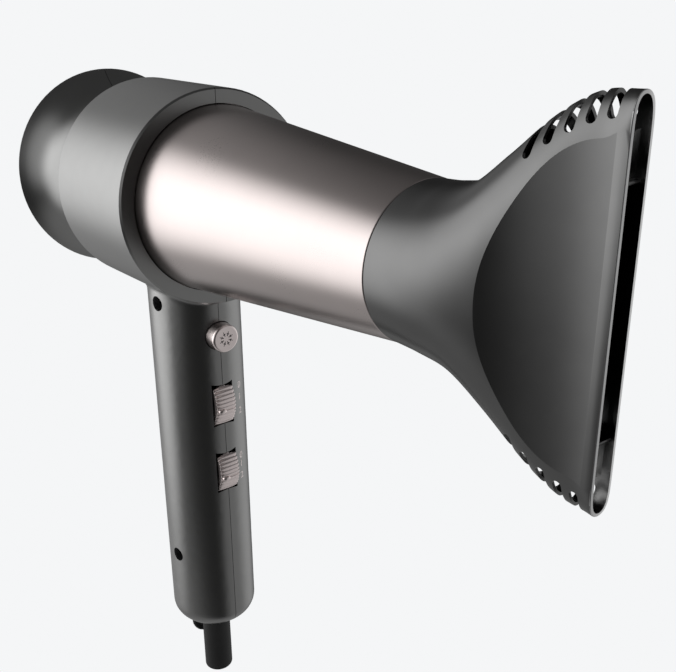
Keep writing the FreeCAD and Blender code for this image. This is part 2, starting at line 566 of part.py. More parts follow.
def scooped_sides(inset):
    """Upright prism whose two sides curve inwards towards the mouth."""
    start_slope = (SCOOP_START_Y - SCOOP_PULL[1]) / (SCOOP_PULL[0] - SCOOP_START_X)
    back_x = NOZZLE_REAR_X - 3
    back_y = SCOOP_START_Y + start_slope * (SCOOP_START_X - back_x)
    sides = []
    for side in (-1, 1):
        def at(x, y):
            return v(x, side * (y - inset), BARREL_Z - 70)
        scoop = Part.BezierCurve()
        scoop.setPoles([at(SCOOP_START_X, SCOOP_START_Y), at(*SCOOP_PULL), at(STRIP_X, STRIP_Y)])
        sides.append([at(back_x, back_y), scoop.toShape(), at(STRIP_X, STRIP_Y),
                      at(NOZZLE_FRONT_X + 2, RIM_HALF - 0.4)])
    edges = []
    for back, scoop, strip, front in sides:
        start = scoop.valueAt(scoop.FirstParameter)
        edges += [Part.LineSegment(back, start).toShape(), scoop,
                  Part.LineSegment(strip, front).toShape()]
    edges.append(Part.LineSegment(sides[0][0], sides[1][0]).toShape())
    edges.append(Part.LineSegment(sides[0][3], sides[1][3]).toShape())
    return Part.Face(Part.Wire(Part.__sortEdges__(edges))).extrude(v(0, 0, 140))


VENT_EDGE_H, VENT_RISE, VENT_CURVE = 46.0, 8.2, 1.7
VENT_DEPTH, VENT_DRIFT = 8.0, 2.4
CLIP_REAR_X, CLIP_R, CLIP_BORE = 135.0, 22.9, 21.5
STOP_R, LIP_R, LIP_BORE = 23.75, 24.6, 23.3
RIB_REAR_X, RIB_HALF_THICK = 202.0, 0.4


def vent_cut(i, side):
    """One slot through both side walls and the edge, with a round inner end."""
    x = VENT_X + VENT_PITCH * i
    share = i / (VENTS - 1)
    half_h = VENT_EDGE_H + VENT_RISE * (1 - (1 - share) ** VENT_CURVE)
    end = side * (half_h - VENT_DEPTH + VENT_DRIFT * share)
    slot = block(x - VENT_W / 2, x + VENT_W / 2, -20, 20, *sorted((end, side * 60)))
    return slot.fuse(cross_pin(x, end, VENT_W / 2, -20, 20))


def make_nozzle():
    shell = nozzle_solid(0.0).cut(nozzle_solid(NOZZLE_WALL))
    lip = tube(NOZZLE_REAR_X + 4.0, NOZZLE_REAR_X + 5.0, LIP_R, LIP_BORE)
    shell = shell.fuse(lip.common(nozzle_solid(0.2)))
    for side in (-1, 1):
        for i in range(VENTS):
            shell = shell.cut(vent_cut(i, side))
    inside = nozzle_solid(NOZZLE_WALL - 0.3)
    for z in (-RIB_Z, RIB_Z):
        rib = block(RIB_REAR_X, NOZZLE_FRONT_X - 1.2, -9, 9, z - RIB_HALF_THICK,
                    z + RIB_HALF_THICK).common(inside)
        shell = shell.fuse(rib)
    save("nozzle_shell", shell)
    clip = tube(CLIP_REAR_X, NOZZLE_REAR_X + 4.6, CLIP_R, CLIP_BORE)
    stop = tube(NOZZLE_REAR_X + 0.6, NOZZLE_REAR_X + 2.6, STOP_R, CLIP_R - 0.9)
    save("nozzle_clip_ring", clip.fuse(stop))


make_housing()
make_handle_screws()
make_barrel()
make_heater()
make_outlet_grille()
make_duct()
make_motor()
make_rotor()
make_rear_grille()
make_button()
for wheel_name, wheel_drop in WHEEL_DROPS.items():
    make_thumbwheel(wheel_name, wheel_drop)
make_switchgear()
make_electrics()
make_cord_fittings()
make_nozzle()
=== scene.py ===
"""Looks of a hand-held hair dryer: fine meshes, finishes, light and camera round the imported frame.

Shapes are written in millimetres in the frame's own axes: the origin is the middle of the
grip, +Z runs up the handle, +X is the way the air blows and -Y is the dryer's left side.
"""
import json
import logging
import math
from dataclasses import dataclass
from enum import Enum
from functools import partialmethod
from typing import Any, Callable, Mapping, Sequence

import bmesh
import bpy
from mathutils import Matrix, Vector
from mathutils.bvhtree import BVHTree
from mathutils.interpolate import poly_3d_calc

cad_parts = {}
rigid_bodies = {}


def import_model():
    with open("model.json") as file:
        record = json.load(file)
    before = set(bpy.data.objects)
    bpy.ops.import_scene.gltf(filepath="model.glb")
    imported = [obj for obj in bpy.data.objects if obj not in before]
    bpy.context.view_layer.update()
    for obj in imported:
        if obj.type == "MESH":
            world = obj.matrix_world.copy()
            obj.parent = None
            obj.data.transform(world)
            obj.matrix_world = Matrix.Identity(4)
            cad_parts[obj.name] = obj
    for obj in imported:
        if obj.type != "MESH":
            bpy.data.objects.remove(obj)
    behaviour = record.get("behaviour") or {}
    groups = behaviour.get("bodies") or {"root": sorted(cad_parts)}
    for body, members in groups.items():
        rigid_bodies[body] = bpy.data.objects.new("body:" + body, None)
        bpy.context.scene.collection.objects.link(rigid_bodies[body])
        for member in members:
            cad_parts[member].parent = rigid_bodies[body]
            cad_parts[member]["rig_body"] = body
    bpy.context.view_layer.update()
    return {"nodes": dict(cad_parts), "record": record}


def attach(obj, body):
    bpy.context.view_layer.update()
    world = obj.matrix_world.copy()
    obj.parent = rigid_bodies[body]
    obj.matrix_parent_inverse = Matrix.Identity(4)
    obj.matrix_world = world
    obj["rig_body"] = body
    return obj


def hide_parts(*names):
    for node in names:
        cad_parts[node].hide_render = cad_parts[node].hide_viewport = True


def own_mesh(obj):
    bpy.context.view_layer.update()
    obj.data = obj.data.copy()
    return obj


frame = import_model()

log = logging.getLogger("hair_dryer")

MM = 0.001
BARREL_Z = 130.0                       # barrel axis above the middle of the grip
GRIP_A, GRIP_B = 20.45, 19.75          # half lengths of the handle's oval, along and across
UP_TO_BARREL = Matrix.Translation((0, 0, BARREL_Z))
ALONG_BARREL = UP_TO_BARREL @ Matrix.Rotation(math.radians(90), 4, "Y")
Object, Mesh = bpy.types.Object, bpy.types.Mesh
Rgb = tuple[float, float, float]
Point = Sequence[float]
Outline = list[tuple[float, float]]
Given = dict[str, "Value"]


# ---- node trees
class Value:
    """A node's output that can be written in sums."""

    def __init__(self, graph: "Graph", socket: bpy.types.NodeSocket) -> None:
        self.graph = graph
        self.socket = socket

    def out(self, name: str) -> "Value":
        """Another output of the same node."""
        return Value(self.graph, self.graph.find(self.socket.node.outputs, name))

    def _do(self, operation: str, *others: Any, swapped: bool = False) -> "Value":
        """A Math node, or a Vector Math node where a term is a vector."""
        terms = (*others, self) if swapped else (self, *others)
        if {t.socket.type for t in terms if isinstance(t, Value)} & {"VECTOR", "RGBA"}:
            terms = tuple(t if isinstance(t, Value) or hasattr(t, "__len__") else (t,) * 3 for t in terms)
            return self.graph.node("ShaderNodeVectorMath", {"operation": operation}, terms)
        return self.graph.node("ShaderNodeMath", {"operation": operation}, terms)

    __add__ = partialmethod(_do, "ADD")
    __sub__ = partialmethod(_do, "SUBTRACT")
    __rsub__ = partialmethod(_do, "SUBTRACT", swapped=True)
    __mul__ = partialmethod(_do, "MULTIPLY")
    __truediv__ = partialmethod(_do, "DIVIDE")
    __pow__ = partialmethod(_do, "POWER")
    __lt__ = partialmethod(_do, "LESS_THAN")
    sine = partialmethod(_do, "SINE")

    def within(self, low: float, high: float) -> "Value":
        """The value carried smoothly from low..high to 0..1, and held there."""
        return self.graph.node("ShaderNodeMapRange", {"interpolation_type": "SMOOTHSTEP"}, [self, low, high])

    def dot(self, direction: Point) -> "Value":
        """Scalar product with a fixed direction."""
        return self.graph.node("ShaderNodeVectorMath", {"operation": "DOT_PRODUCT"},
                               [self, tuple(direction)], "Value")


class Graph:
    """Makes the nodes of one tree."""

    def __init__(self, tree: bpy.types.NodeTree) -> None:
        self.tree = tree

    @classmethod
    def of(cls, owner: bpy.types.Material | bpy.types.World) -> "Graph":
        """The emptied tree of a material or world."""
        owner.use_nodes = True
        owner.node_tree.nodes.clear()
        return cls(owner.node_tree)

    @staticmethod
    def find(sockets: Any, key: int | str) -> bpy.types.NodeSocket:
        """A socket by place, identifier or name."""
        if isinstance(key, int):
            return sockets[key]
        return next((s for s in sockets if s.identifier == key), None) or sockets[key]

    def feed(self, socket: bpy.types.NodeSocket, value: Any) -> None:
        """Link a value to a socket, or set the socket's own number, colour or material."""
        if isinstance(value, Value):
            self.tree.links.new(value.socket, socket)
        elif value is not None:
            if socket.type == "RGBA" and len(value) == 3:
                value = (*value, 1.0)
            socket.default_value = value

    def node(self, kind: str, settings: Mapping[str, Any] | None = None,
             inputs: Mapping[int | str, Any] | Sequence[Any] | None = None,
             output: int | str = 0) -> Value:
        """Add a node.

        Args:
            kind: the node's type.
            settings: its own settings.
            inputs: values or links of its sockets, by place or by name.
            output: the output that is handed back.

        Returns:
            That output as a Value.
        """
        made = self.tree.nodes.new(kind)
        for key, value in (settings or {}).items():
            setattr(made, key, value)
        pairs = inputs.items() if isinstance(inputs, Mapping) else enumerate(inputs or [])
        for key, value in pairs:
            self.feed(self.find(made.inputs, key), value)
        return Value(self, self.find(made.outputs, output)) if made.outputs else Value(self, None)

    def geo(self, kind: str, **inputs: Any) -> Value:
        """Add a geometry node; an underscore stands for the space in an input's name."""
        return self.node("GeometryNode" + kind, {}, {key.replace("_", " "): value for key, value in inputs.items()})

    def xyz(self, x: Any, y: Any, z: Any) -> Value:
        """Three numbers as a vector."""
        return self.node("ShaderNodeCombineXYZ", {}, [x, y, z])


# ---- finishes
class Pattern(Enum):
    """What the surface of a finish shows up close."""

    SPARK_ERODED = "fine even grain of a moulding tool"
    SPRAYED = "metallic lacquer with flakes"
    TURNED = "fine lines round the barrel axis"
    RUBBED = "soft dull rubber with dust"
    PRESSED = "layered flakes"
    WOUND = "fine lines round a winding"


@dataclass(frozen=True)
class Finish:
    """A material of the dryer.

    Sizes of the grain are millimetres; tone and spread are the shares by which the colour
    and the roughness wander.
    """

    name: str
    colour: Rgb
    roughness: float
    metallic: float = 0.0
    pattern: Pattern = Pattern.SPARK_ERODED
    grain: float = 0.35
    depth: float = 0.006
    tone: float = 0.05
    spread: float = 0.05
    specular: float = 0.5
    coat: float = 0.0
    second: Rgb | None = None

    def material(self) -> bpy.types.Material:
        """The Blender material, made once."""
        return bpy.data.materials.get(f"{self.name}_finish") or self._make()

    def _make(self) -> bpy.types.Material:
        """Build the node tree.

        Returns:
            The new material.
        """
        made = bpy.data.materials.new(f"{self.name}_finish")
        g = Graph.of(made)
        place = g.node("ShaderNodeTexCoord", output="Object") * (1 / MM)
        broad = self._noise(g, place, 28.0, 3.0)
        cloud = self._noise(g, place, 6.0, 2.0)
        fine = self._fine(g, place)
        shade = (broad * 0.5 + cloud * 0.3 + fine * 0.2).within(0.3, 0.7)
        dark = tuple(c * (1 - self.tone) for c in self.colour)
        light = tuple(min(1.0, c * (1 + self.tone)) for c in self.second or self.colour)
        colour = g.node("ShaderNodeMix", {"data_type": "RGBA"},
                        {"Factor_Float": shade, "A_Color": dark, "B_Color": light}, "Result_Color")
        rough = (broad * 0.6 + fine * 0.4 - 0.5) * (2 * self.spread) + self.roughness
        bump = g.node("ShaderNodeBump", {}, {"Strength": 1.0, "Distance": self.depth * MM, "Height": fine},
                      "Normal")
        shader = g.node("ShaderNodeBsdfPrincipled", {}, {
            "Base Color": colour, "Roughness": rough, "Metallic": self.metallic, "Normal": bump,
            "Specular IOR Level": self.specular, "Coat Weight": self.coat, "Coat Roughness": 0.12})
        g.node("ShaderNodeOutputMaterial", {}, {"Surface": shader})
        return made

    @staticmethod
    def _noise(g: Graph, place: Value, size: float, detail: float) -> Value:
        """Noise of about 0 to 1 with lumps of a size in millimetres."""
        return g.node("ShaderNodeTexNoise", {}, {"Vector": place, "Scale": 1 / size, "Detail": detail}, 0)

    def _fine(self, g: Graph, place: Value) -> Value:
        """The finish's own close-up pattern, 0 to 1."""
        def cells(feature: str, scale: float, output: str = "Distance") -> Value:
            """Cells of a Voronoi texture."""
            return g.node("ShaderNodeTexVoronoi", {"feature": feature}, {"Vector": place, "Scale": scale}, output)

        if self.pattern is Pattern.SPRAYED:
            flakes = cells("F1", 1 / self.grain, "Color").dot((0.4, 0.3, 0.3))
            return flakes * 0.5 + self._noise(g, place, self.grain * 3, 2.0) * 0.5
        if self.pattern is Pattern.TURNED:
            along = g.node("ShaderNodeSeparateXYZ", {}, [place], "X")
            rings = g.node("ShaderNodeTexNoise", {"noise_dimensions": "1D"},
                           {"W": along, "Scale": 1 / self.grain, "Detail": 4.0}, 0)
            return rings * 0.7 + self._noise(g, place, self.grain, 2.0) * 0.3
        if self.pattern is Pattern.WOUND:
            along = g.node("ShaderNodeSeparateXYZ", {}, [place], "X")
            return (along * (6.28 / self.grain)).sine() * 0.35 + 0.5
        if self.pattern is Pattern.PRESSED:
            return cells("F1", 0.2 / self.grain) * 0.6 + self._noise(g, place, self.grain, 4.0) * 0.4
        if self.pattern is Pattern.RUBBED:
            dust = self._noise(g, place, 1.6, 5.0).within(0.55, 0.75)
            return self._noise(g, place, self.grain, 3.0) * 0.8 + dust * 0.2
        return cells("SMOOTH_F1", 1 / self.grain) * 0.6 + self._noise(g, place, self.grain * 0.7, 3.0) * 0.4


FINISHES = {f.name: f for f in (
    Finish("graphite_shell", (0.30, 0.30, 0.297), 0.30, 1.0, Pattern.SPRAYED, 0.16, 0.0006, 0.03, 0.02),
    Finish("champagne_metal", (0.63, 0.565, 0.55), 0.28, 1.0, Pattern.SPRAYED, 0.14, 0.0006, 0.02, 0.02),
    Finish("champagne_plastic", (0.98, 0.87, 0.855), 0.29, 1.0, Pattern.SPRAYED, 0.14, 0.0006, 0.03, 0.02),
    Finish("nozzle_plastic", (0.165, 0.165, 0.164), 0.29, 1.0, Pattern.SPARK_ERODED, 0.20, 0.0020, 0.04, 0.03),
    Finish("black_plastic", (0.013, 0.013, 0.014), 0.50, 0.0, Pattern.SPARK_ERODED, 0.25, 0.0080, 0.10, 0.05),
    Finish("black_rubber", (0.014, 0.014, 0.014), 0.62, 0.0, Pattern.RUBBED, 0.40, 0.0120, 0.20, 0.06, 0.4),
    Finish("inner_plastic", (0.030, 0.030, 0.032), 0.48, 0.0, Pattern.SPARK_ERODED, 0.30, 0.0080, 0.10, 0.05),
    Finish("fan_plastic", (0.46, 0.45, 0.43), 0.42, 0.0, Pattern.SPARK_ERODED, 0.30, 0.0060, 0.04, 0.04),
    Finish("mica", (0.50, 0.44, 0.33), 0.38, 0.15, Pattern.PRESSED, 0.8, 0.0200, 0.10, 0.08, 0.6, 0.2,
           (0.68, 0.62, 0.50)),
    Finish("nichrome", (0.42, 0.40, 0.38), 0.35, 1.0, Pattern.WOUND, 0.7, 0.1000, 0.10, 0.05),
    Finish("steel", (0.56, 0.56, 0.57), 0.30, 1.0, Pattern.TURNED, 0.12, 0.0030, 0.04, 0.05),
    Finish("bronze", (0.58, 0.40, 0.22), 0.32, 1.0, Pattern.TURNED, 0.14, 0.0030, 0.05, 0.05),
    Finish("magnet", (0.075, 0.075, 0.080), 0.55, 0.4, Pattern.PRESSED, 0.3, 0.0100, 0.10, 0.06),
    Finish("carbon", (0.035, 0.035, 0.037), 0.60, 0.2, Pattern.PRESSED, 0.25, 0.0120, 0.12, 0.06),
    Finish("laminations", (0.30, 0.29, 0.28), 0.40, 1.0, Pattern.WOUND, 0.5, 0.0600, 0.08, 0.05),
    Finish("circuit_board", (0.040, 0.150, 0.060), 0.38, 0.0, Pattern.PRESSED, 0.5, 0.0060, 0.15, 0.05, 0.5, 0.3),
    Finish("lead_sleeve", (0.50, 0.035, 0.030), 0.45, 0.0, Pattern.RUBBED, 0.3, 0.0060, 0.10, 0.05),
    # Painted highlight: a lighter copy of the graphite lacquer for the nozzle's mouth rim, standing in for the
    # highlight its front face would catch.
    Finish("bright_edge", (0.72, 0.72, 0.72), 0.30, 1.0, Pattern.SPRAYED, 0.16, 0.0006, 0.03, 0.02),
    Finish("champagne_print", (0.95, 0.84, 0.82), 0.42, 0.0, Pattern.SPRAYED, 0.12, 0.0020, 0.03, 0.03),
    Finish("dark_print", (0.045, 0.040, 0.040), 0.45, 0.2, Pattern.SPARK_ERODED, 0.12, 0.0020, 0.05, 0.03),
)}


# ---- mesh work
def add_object(name: str, mesh: Mesh) -> Object:
    """Put a mesh into the scene as an object at the origin."""
    made = bpy.data.objects.new(name, mesh)
    bpy.context.scene.collection.objects.link(made)
    return made


def drop(*objects: Object) -> None:
    """Remove working objects."""
    for item in objects:
        bpy.data.objects.remove(item)


def plain_mesh(item: Object) -> Mesh:
    """The object's mesh with its modifiers worked in."""
    bpy.context.view_layer.update()
    view = bpy.context.evaluated_depsgraph_get()
    return bpy.data.meshes.new_from_object(item.evaluated_get(view), depsgraph=view)


def from_rings(rings: Sequence[Sequence[Point]]) -> Mesh:
    """Skin a row of closed rings of points, and close both ends.

    Args:
        rings: rings with the same number of points each.

    Returns:
        A closed mesh with its faces outward.
    """
    count, around = len(rings), len(rings[0])
    faces = [tuple(range(around)), tuple(reversed(range((count - 1) * around, count * around)))]
    for low in range(0, (count - 1) * around, around):
        for j in range(around):
            k = (j + 1) % around
            faces.append((low + j, low + k, low + around + k, low + around + j))
    mesh = bpy.data.meshes.new("skin")
    mesh.from_pydata([tuple(p) for ring in rings for p in ring], [], faces)
    return outward(mesh)


def outward(mesh: Mesh, merge: float = 0.002) -> Mesh:
    """Merge doubles, drop slivers and turn the faces outward."""
    work = bmesh.new()
    work.from_mesh(mesh)
    bmesh.ops.remove_doubles(work, verts=work.verts, dist=merge)
    bmesh.ops.dissolve_degenerate(work, dist=merge / 2, edges=work.edges)
    bmesh.ops.recalc_face_normals(work, faces=work.faces)
    work.to_mesh(mesh)
    work.free()
    return mesh


def combine(item: Object, tool: Object, operation: str) -> None:
    """Cut, join or intersect a mesh with another, which is used up."""
    step = item.modifiers.new("combine", "BOOLEAN")
    step.object, step.operation, step.solver = tool, operation, "MANIFOLD"
    mesh = plain_mesh(item)
    item.modifiers.remove(step)
    item.data = mesh
    drop(tool)


def rounded(corners: Sequence[tuple[float, float, float]], steps: int = 5) -> Outline:
    """Round the corners of a closed outline.

    Args:
        corners: (first, second, radius) of each corner in order.
        steps: points along each rounding.

    Returns:
        The outline's points.
    """
    made: Outline = []
    for i, (x, y, radius) in enumerate(corners):
        here = Vector((x, y))
        if radius <= 0:
            made.append((x, y))
            continue
        before = (Vector(corners[i - 1][:2]) - here).normalized()
        after = (Vector(corners[(i + 1) % len(corners)][:2]) - here).normalized()
        half = before.angle(after) / 2
        middle = here + (before + after).normalized() * (radius / math.sin(half))
        start = here + before * (radius / math.tan(half)) - middle
        end = here + after * (radius / math.tan(half)) - middle
        for k in range(steps + 1):
            made.append(tuple(middle + start.slerp(end, k / steps).normalized() * radius))
    return made


def loop_mesh(outline: Outline) -> Mesh:
    """A closed outline as edges only, flat in XY."""
    mesh = bpy.data.meshes.new("outline")
    count = len(outline)
    mesh.from_pydata([(x, y, 0) for x, y in outline], [(i, (i + 1) % count) for i in range(count)], [])
    return mesh


def smooth(item: Object, sharp: float = 32.0, weigh: bool = True) -> Object:
    """Shade smooth apart from edges sharper than an angle, large faces first where weigh is set."""
    imported = item.data.attributes.get("custom_normal")
    if imported:
        item.data.attributes.remove(imported)
    work = bmesh.new()
    work.from_mesh(item.data)
    for face in work.faces:
        face.smooth = True
    for edge in work.edges:
        edge.smooth = len(edge.link_faces) == 2 and edge.calc_face_angle() < math.radians(sharp)
    work.to_mesh(item.data)
    work.free()
    if not weigh:
        return item
    step = item.modifiers.new("weigh", "WEIGHTED_NORMAL")
    step.mode, step.weight, step.keep_sharp = "FACE_AREA", 70, True
    item.data = plain_mesh(item)
    item.modifiers.remove(step)
    return item


def settle(item: Object, clean: Mapping[Object, float], reach: float = 0.03) -> None:
    """Give corners that lie on a clean smooth surface that surface's own normals.

    Args:
        item: a mesh whose faces were cut up.
        clean: the uncut surfaces, used up here, each with how well a face has to agree with it.
        reach: how far a corner may lie off a clean surface.
    """
    mesh = item.data
    normals = [Vector(n.vector) for n in mesh.corner_normals]
    for surface, agree in clean.items():
        skin = surface.data
        points = [v.co.copy() for v in skin.vertices]
        soft = [v.normal.copy() for v in skin.vertices]
        tree = BVHTree.FromPolygons(points, [list(p.vertices) for p in skin.polygons])
        found: dict[int, tuple[Vector, Vector] | None] = {}
        for face in mesh.polygons:
            for corner in face.loop_indices:
                at = mesh.loops[corner].vertex_index
                if at not in found:
                    place, _, index, _ = tree.find_nearest(mesh.vertices[at].co, reach)
                    if place is None:
                        found[at] = None
                        continue
                    around = list(skin.polygons[index].vertices)
                    weights = poly_3d_calc([points[v] for v in around], place)
                    blend = sum((soft[v] * w for v, w in zip(around, weights)), Vector())
                    found[at] = blend.normalized()
                if found[at] and abs(found[at].dot(face.normal)) > agree:
                    sign = 1 if found[at].dot(face.normal) > 0 else -1
                    normals[corner] = found[at] * sign
    drop(*clean)
    mesh.normals_split_custom_set(normals)


# ---- trees that repeat and sweep
class Grower:
    """A geometry tree with named inputs, and the making of plain meshes from it."""

    def __init__(self, name: str, inputs: Mapping[str, str],
                 build: Callable[[Graph, Given], Value]) -> None:
        """Build the tree.

        Args:
            name: the tree's name.
            inputs: the names of the inputs of each kind of socket.
            build: makes the nodes and returns the geometry before it is made real.
        """
        tree = self.tree = bpy.data.node_groups.new(name, "GeometryNodeTree")
        for kind, labels in {"Geometry": "Geometry", **inputs, "Material": "Finish"}.items():
            for label in labels.split(", "):
                tree.interface.new_socket(label, in_out="INPUT", socket_type="NodeSocket" + kind)
        tree.interface.new_socket("Geometry", in_out="OUTPUT", socket_type="NodeSocketGeometry")
        g = Graph(tree)
        entry = g.node("NodeGroupInput")
        given = {s.name: Value(g, s) for s in entry.socket.node.outputs if s.name}
        real = g.geo("RealizeInstances", Geometry=build(g, given))
        dressed = g.geo("SetMaterial", Geometry=real, Material=given["Finish"])
        g.node("NodeGroupOutput", {}, [dressed])

    def grow(self, name: str, finish: str, settings: Mapping[str, Any],
             base: Mesh | None = None) -> Object:
        """Run the tree once and keep its result as a plain mesh.

        Args:
            name: the new object's name.
            finish: the name of its finish.
            settings: values of the named inputs.
            base: the geometry that goes in, where the tree takes one.

        Returns:
            The object, with no modifier left on it.
        """
        host = add_object(name + "_host", base or bpy.data.meshes.new("empty"))
        step = host.modifiers.new("grow", "NODES")
        step.node_group = self.tree
        values = {**settings, "Finish": FINISHES[finish].material()}
        for socket in self.tree.interface.items_tree:
            if socket.in_out == "INPUT" and socket.name in values:
                step[socket.identifier] = values[socket.name]
        mesh = plain_mesh(host)
        drop(host)
        return add_object(name, outward(mesh))


def lathe_tree(g: Graph, given: Given) -> Value:
    """Sweep the outline that goes in round the Z axis."""
    ring = g.geo("CurvePrimitiveCircle", Resolution=given["Steps"], Radius=given["Ring Radius"])
    return g.geo("CurveToMesh", Curve=ring, Profile_Curve=g.geo("MeshToCurve", Mesh=given["Geometry"]))


def around_tree(g: Graph, given: Given) -> Value:
    """Set copies of what goes in round an axis through the origin."""
    points = g.geo("MeshLine", Count=given["Count"], Offset=(0, 0, 0))
    angle = g.geo("InputIndex") * given["Step Angle"] + given["First Angle"]
    turn = g.node("FunctionNodeAxisAngleToRotation", {}, [given["Axis"], angle])
    return g.geo("InstanceOnPoints", Points=points, Instance=given["Geometry"], Rotation=turn)


def row_tree(g: Graph, given: Given) -> Value:
    """Set copies of what goes in along a straight row."""
    points = g.geo("MeshLine", Count=given["Count"], Start_Location=given["First"], Offset=given["Offset"])
    return g.geo("InstanceOnPoints", Points=points, Instance=given["Geometry"])


def vent_tree(g: Graph, given: Given) -> Value:
    """Set slot cutters along the flared edge of the nozzle, each deeper than the last."""
    index = g.geo("InputIndex")
    share = index / (given["Count"] - 1)
    height = given["Edge Height"] + given["Rise"] * (1 - (1 - share) ** given["Curve"]) + given["Drift"] * share
    place = g.xyz(given["First X"] + given["Pitch"] * index, 0.0, height * given["Side"] + given["Axis Height"])
    points = g.geo("MeshLine", Count=given["Count"], Offset=(0, 0, 0))
    return g.geo("InstanceOnPoints", Points=g.geo("SetPosition", Geometry=points, Position=place),
                 Instance=given["Geometry"], Scale=g.xyz(1.0, 1.0, given["Side"]))


def ring_tree(g: Graph, given: Given) -> Value:
    """Concentric bars of a grille round the Z axis, each with the outline that goes in."""
    points = g.geo("MeshLine", Count=given["Count"], Offset=(0, 0, 0))
    size = g.geo("InputIndex") * given["Step"] + given["First Radius"]
    ring = g.geo("CurvePrimitiveCircle", Resolution=given["Steps"], Radius=1.0)
    rings = g.geo("InstanceOnPoints", Points=points, Instance=ring, Scale=g.xyz(size, size, 1.0))
    return g.geo("CurveToMesh", Curve=g.geo("RealizeInstances", Geometry=rings),
                 Profile_Curve=g.geo("MeshToCurve", Mesh=given["Geometry"]))


def weave_tree(g: Graph, given: Given) -> Value:
    """Two sets of waved wires that cross over and under, inside a circle."""
    half, pitch = given["Radius"], given["Pitch"]
    count = g.node("ShaderNodeMath", {"operation": "ROUND"}, [half * 2 / pitch])
    wire = g.geo("MeshLine", Count=count * 2 + 1, Start_Location=g.xyz(half * -1, 0.0, 0.0),
                 Offset=g.xyz(pitch * 0.5, 0.0, 0.0))
    rows = g.geo("MeshLine", Count=count, Start_Location=g.xyz(0.0, half * -1 + pitch * 0.5, 0.0),
                 Offset=g.xyz(0.0, pitch, 0.0))
    sheet = g.geo("RealizeInstances", Geometry=g.geo("InstanceOnPoints", Points=rows, Instance=wire))
    x = g.node("ShaderNodeSeparateXYZ", {}, [g.geo("InputPosition")], "X")
    y = x.out("Y")
    lift = ((x + half) * math.pi / pitch).sine() * ((y + half) * math.pi / pitch).sine()
    waved = g.geo("SetPosition", Geometry=sheet, Offset=g.xyz(0.0, 0.0, lift * given["Wire"]))
    outside = half * half < x * x + y * y
    kept = g.node("GeometryNodeDeleteGeometry", {"domain": "POINT"}, {"Geometry": waved, "Selection": outside})
    section = g.geo("CurvePrimitiveCircle", Resolution=4, Radius=given["Wire"] * 0.5)
    warp = g.geo("CurveToMesh", Curve=g.geo("MeshToCurve", Mesh=kept), Profile_Curve=section, Fill_Caps=True)
    weft = g.geo("Transform", Geometry=warp, Rotation=(math.pi, 0, math.pi / 2))
    woven = g.geo("JoinGeometry", Geometry=warp)
    g.feed(woven.socket.node.inputs[0], weft)
    return woven


LATHE = Grower("lathe", {"Int": "Steps", "Float": "Ring Radius"}, lathe_tree)
AROUND = Grower("set round an axis", {"Int": "Count", "Float": "Step Angle, First Angle", "Vector": "Axis"},
                around_tree)
ROW = Grower("set in a row", {"Int": "Count", "Vector": "First, Offset"}, row_tree)
VENTS = Grower("vents of the nozzle", {
    "Int": "Count", "Float": "First X, Pitch, Edge Height, Rise, Curve, Drift, Side, Axis Height"}, vent_tree)
RINGS = Grower("rings of a grille", {"Int": "Count, Steps", "Float": "First Radius, Step"}, ring_tree)
WEAVE = Grower("woven wire", {"Float": "Radius, Pitch, Wire"}, weave_tree)


def set_round(name: str, finish: str, mesh: Mesh, count: int, step: float, first: float = 0.0,
              axis: Point = (1, 0, 0)) -> Object:
    """Copies of a mesh round an axis through the origin; step and first are degrees."""
    return AROUND.grow(name, finish, {"Count": count, "Step Angle": math.radians(step),
                                      "First Angle": math.radians(first), "Axis": axis}, mesh)


def turned(name: str, finish: str, outline: Outline, place: Matrix = ALONG_BARREL,
           steps: int = 160) -> Object:
    """Turn a closed outline of (along, radius) points on a lathe.

    Args:
        name: the new object's name.
        finish: the name of its finish.
        outline: the wall's outline.
        place: carries the lathe's Z axis to the piece's own.
        steps: facets all round.

    Returns:
        The turned piece.
    """
    ring = max(r for _, r in outline)
    base = loop_mesh([(r - ring, -x) for x, r in outline])
    made = LATHE.grow(name, finish, {"Steps": steps, "Ring Radius": ring}, base)
    made.data.transform(place)
    return made


def smoothed_node(node: str) -> Mesh:
    """A merged copy of a CAD node's mesh, in millimetres."""
    mesh = frame["nodes"][node].data.copy()
    mesh.transform(Matrix.Scale(1 / MM, 4))
    return outward(mesh)


@dataclass
class Piece:
    """What every sub-assembly shares: the body it rides on and the way it hands pieces over."""

    body: str = "dryer_body"

    def hand_over(self, item: Object, slot: str, replaces: Sequence[str] = (),
                  finish: str = "", sharp: float = 32.0, settled: bool = False) -> Object:
        """Finish a piece: metres, smooth shading, material, body and replaced nodes.

        Args:
            item: the object, in millimetres.
            slot: the record's material slot.
            replaces: the CAD nodes that it stands for.
            finish: the finish's name, where it isn't the slot's.
            sharp: edges sharper than this many degrees stay sharp.
            settled: the shading is already right.

        Returns:
            The object.
        """
        if not settled:
            smooth(item, sharp)
        item.data.transform(Matrix.Scale(MM, 4))
        item.data.materials.clear()
        item.data.materials.append(FINISHES[finish or slot].material())
        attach(item, self.body)
        if replaces:
            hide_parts(*replaces)
        log.info("%s: %d faces on %s", item.name, len(item.data.polygons), self.body)
        return item


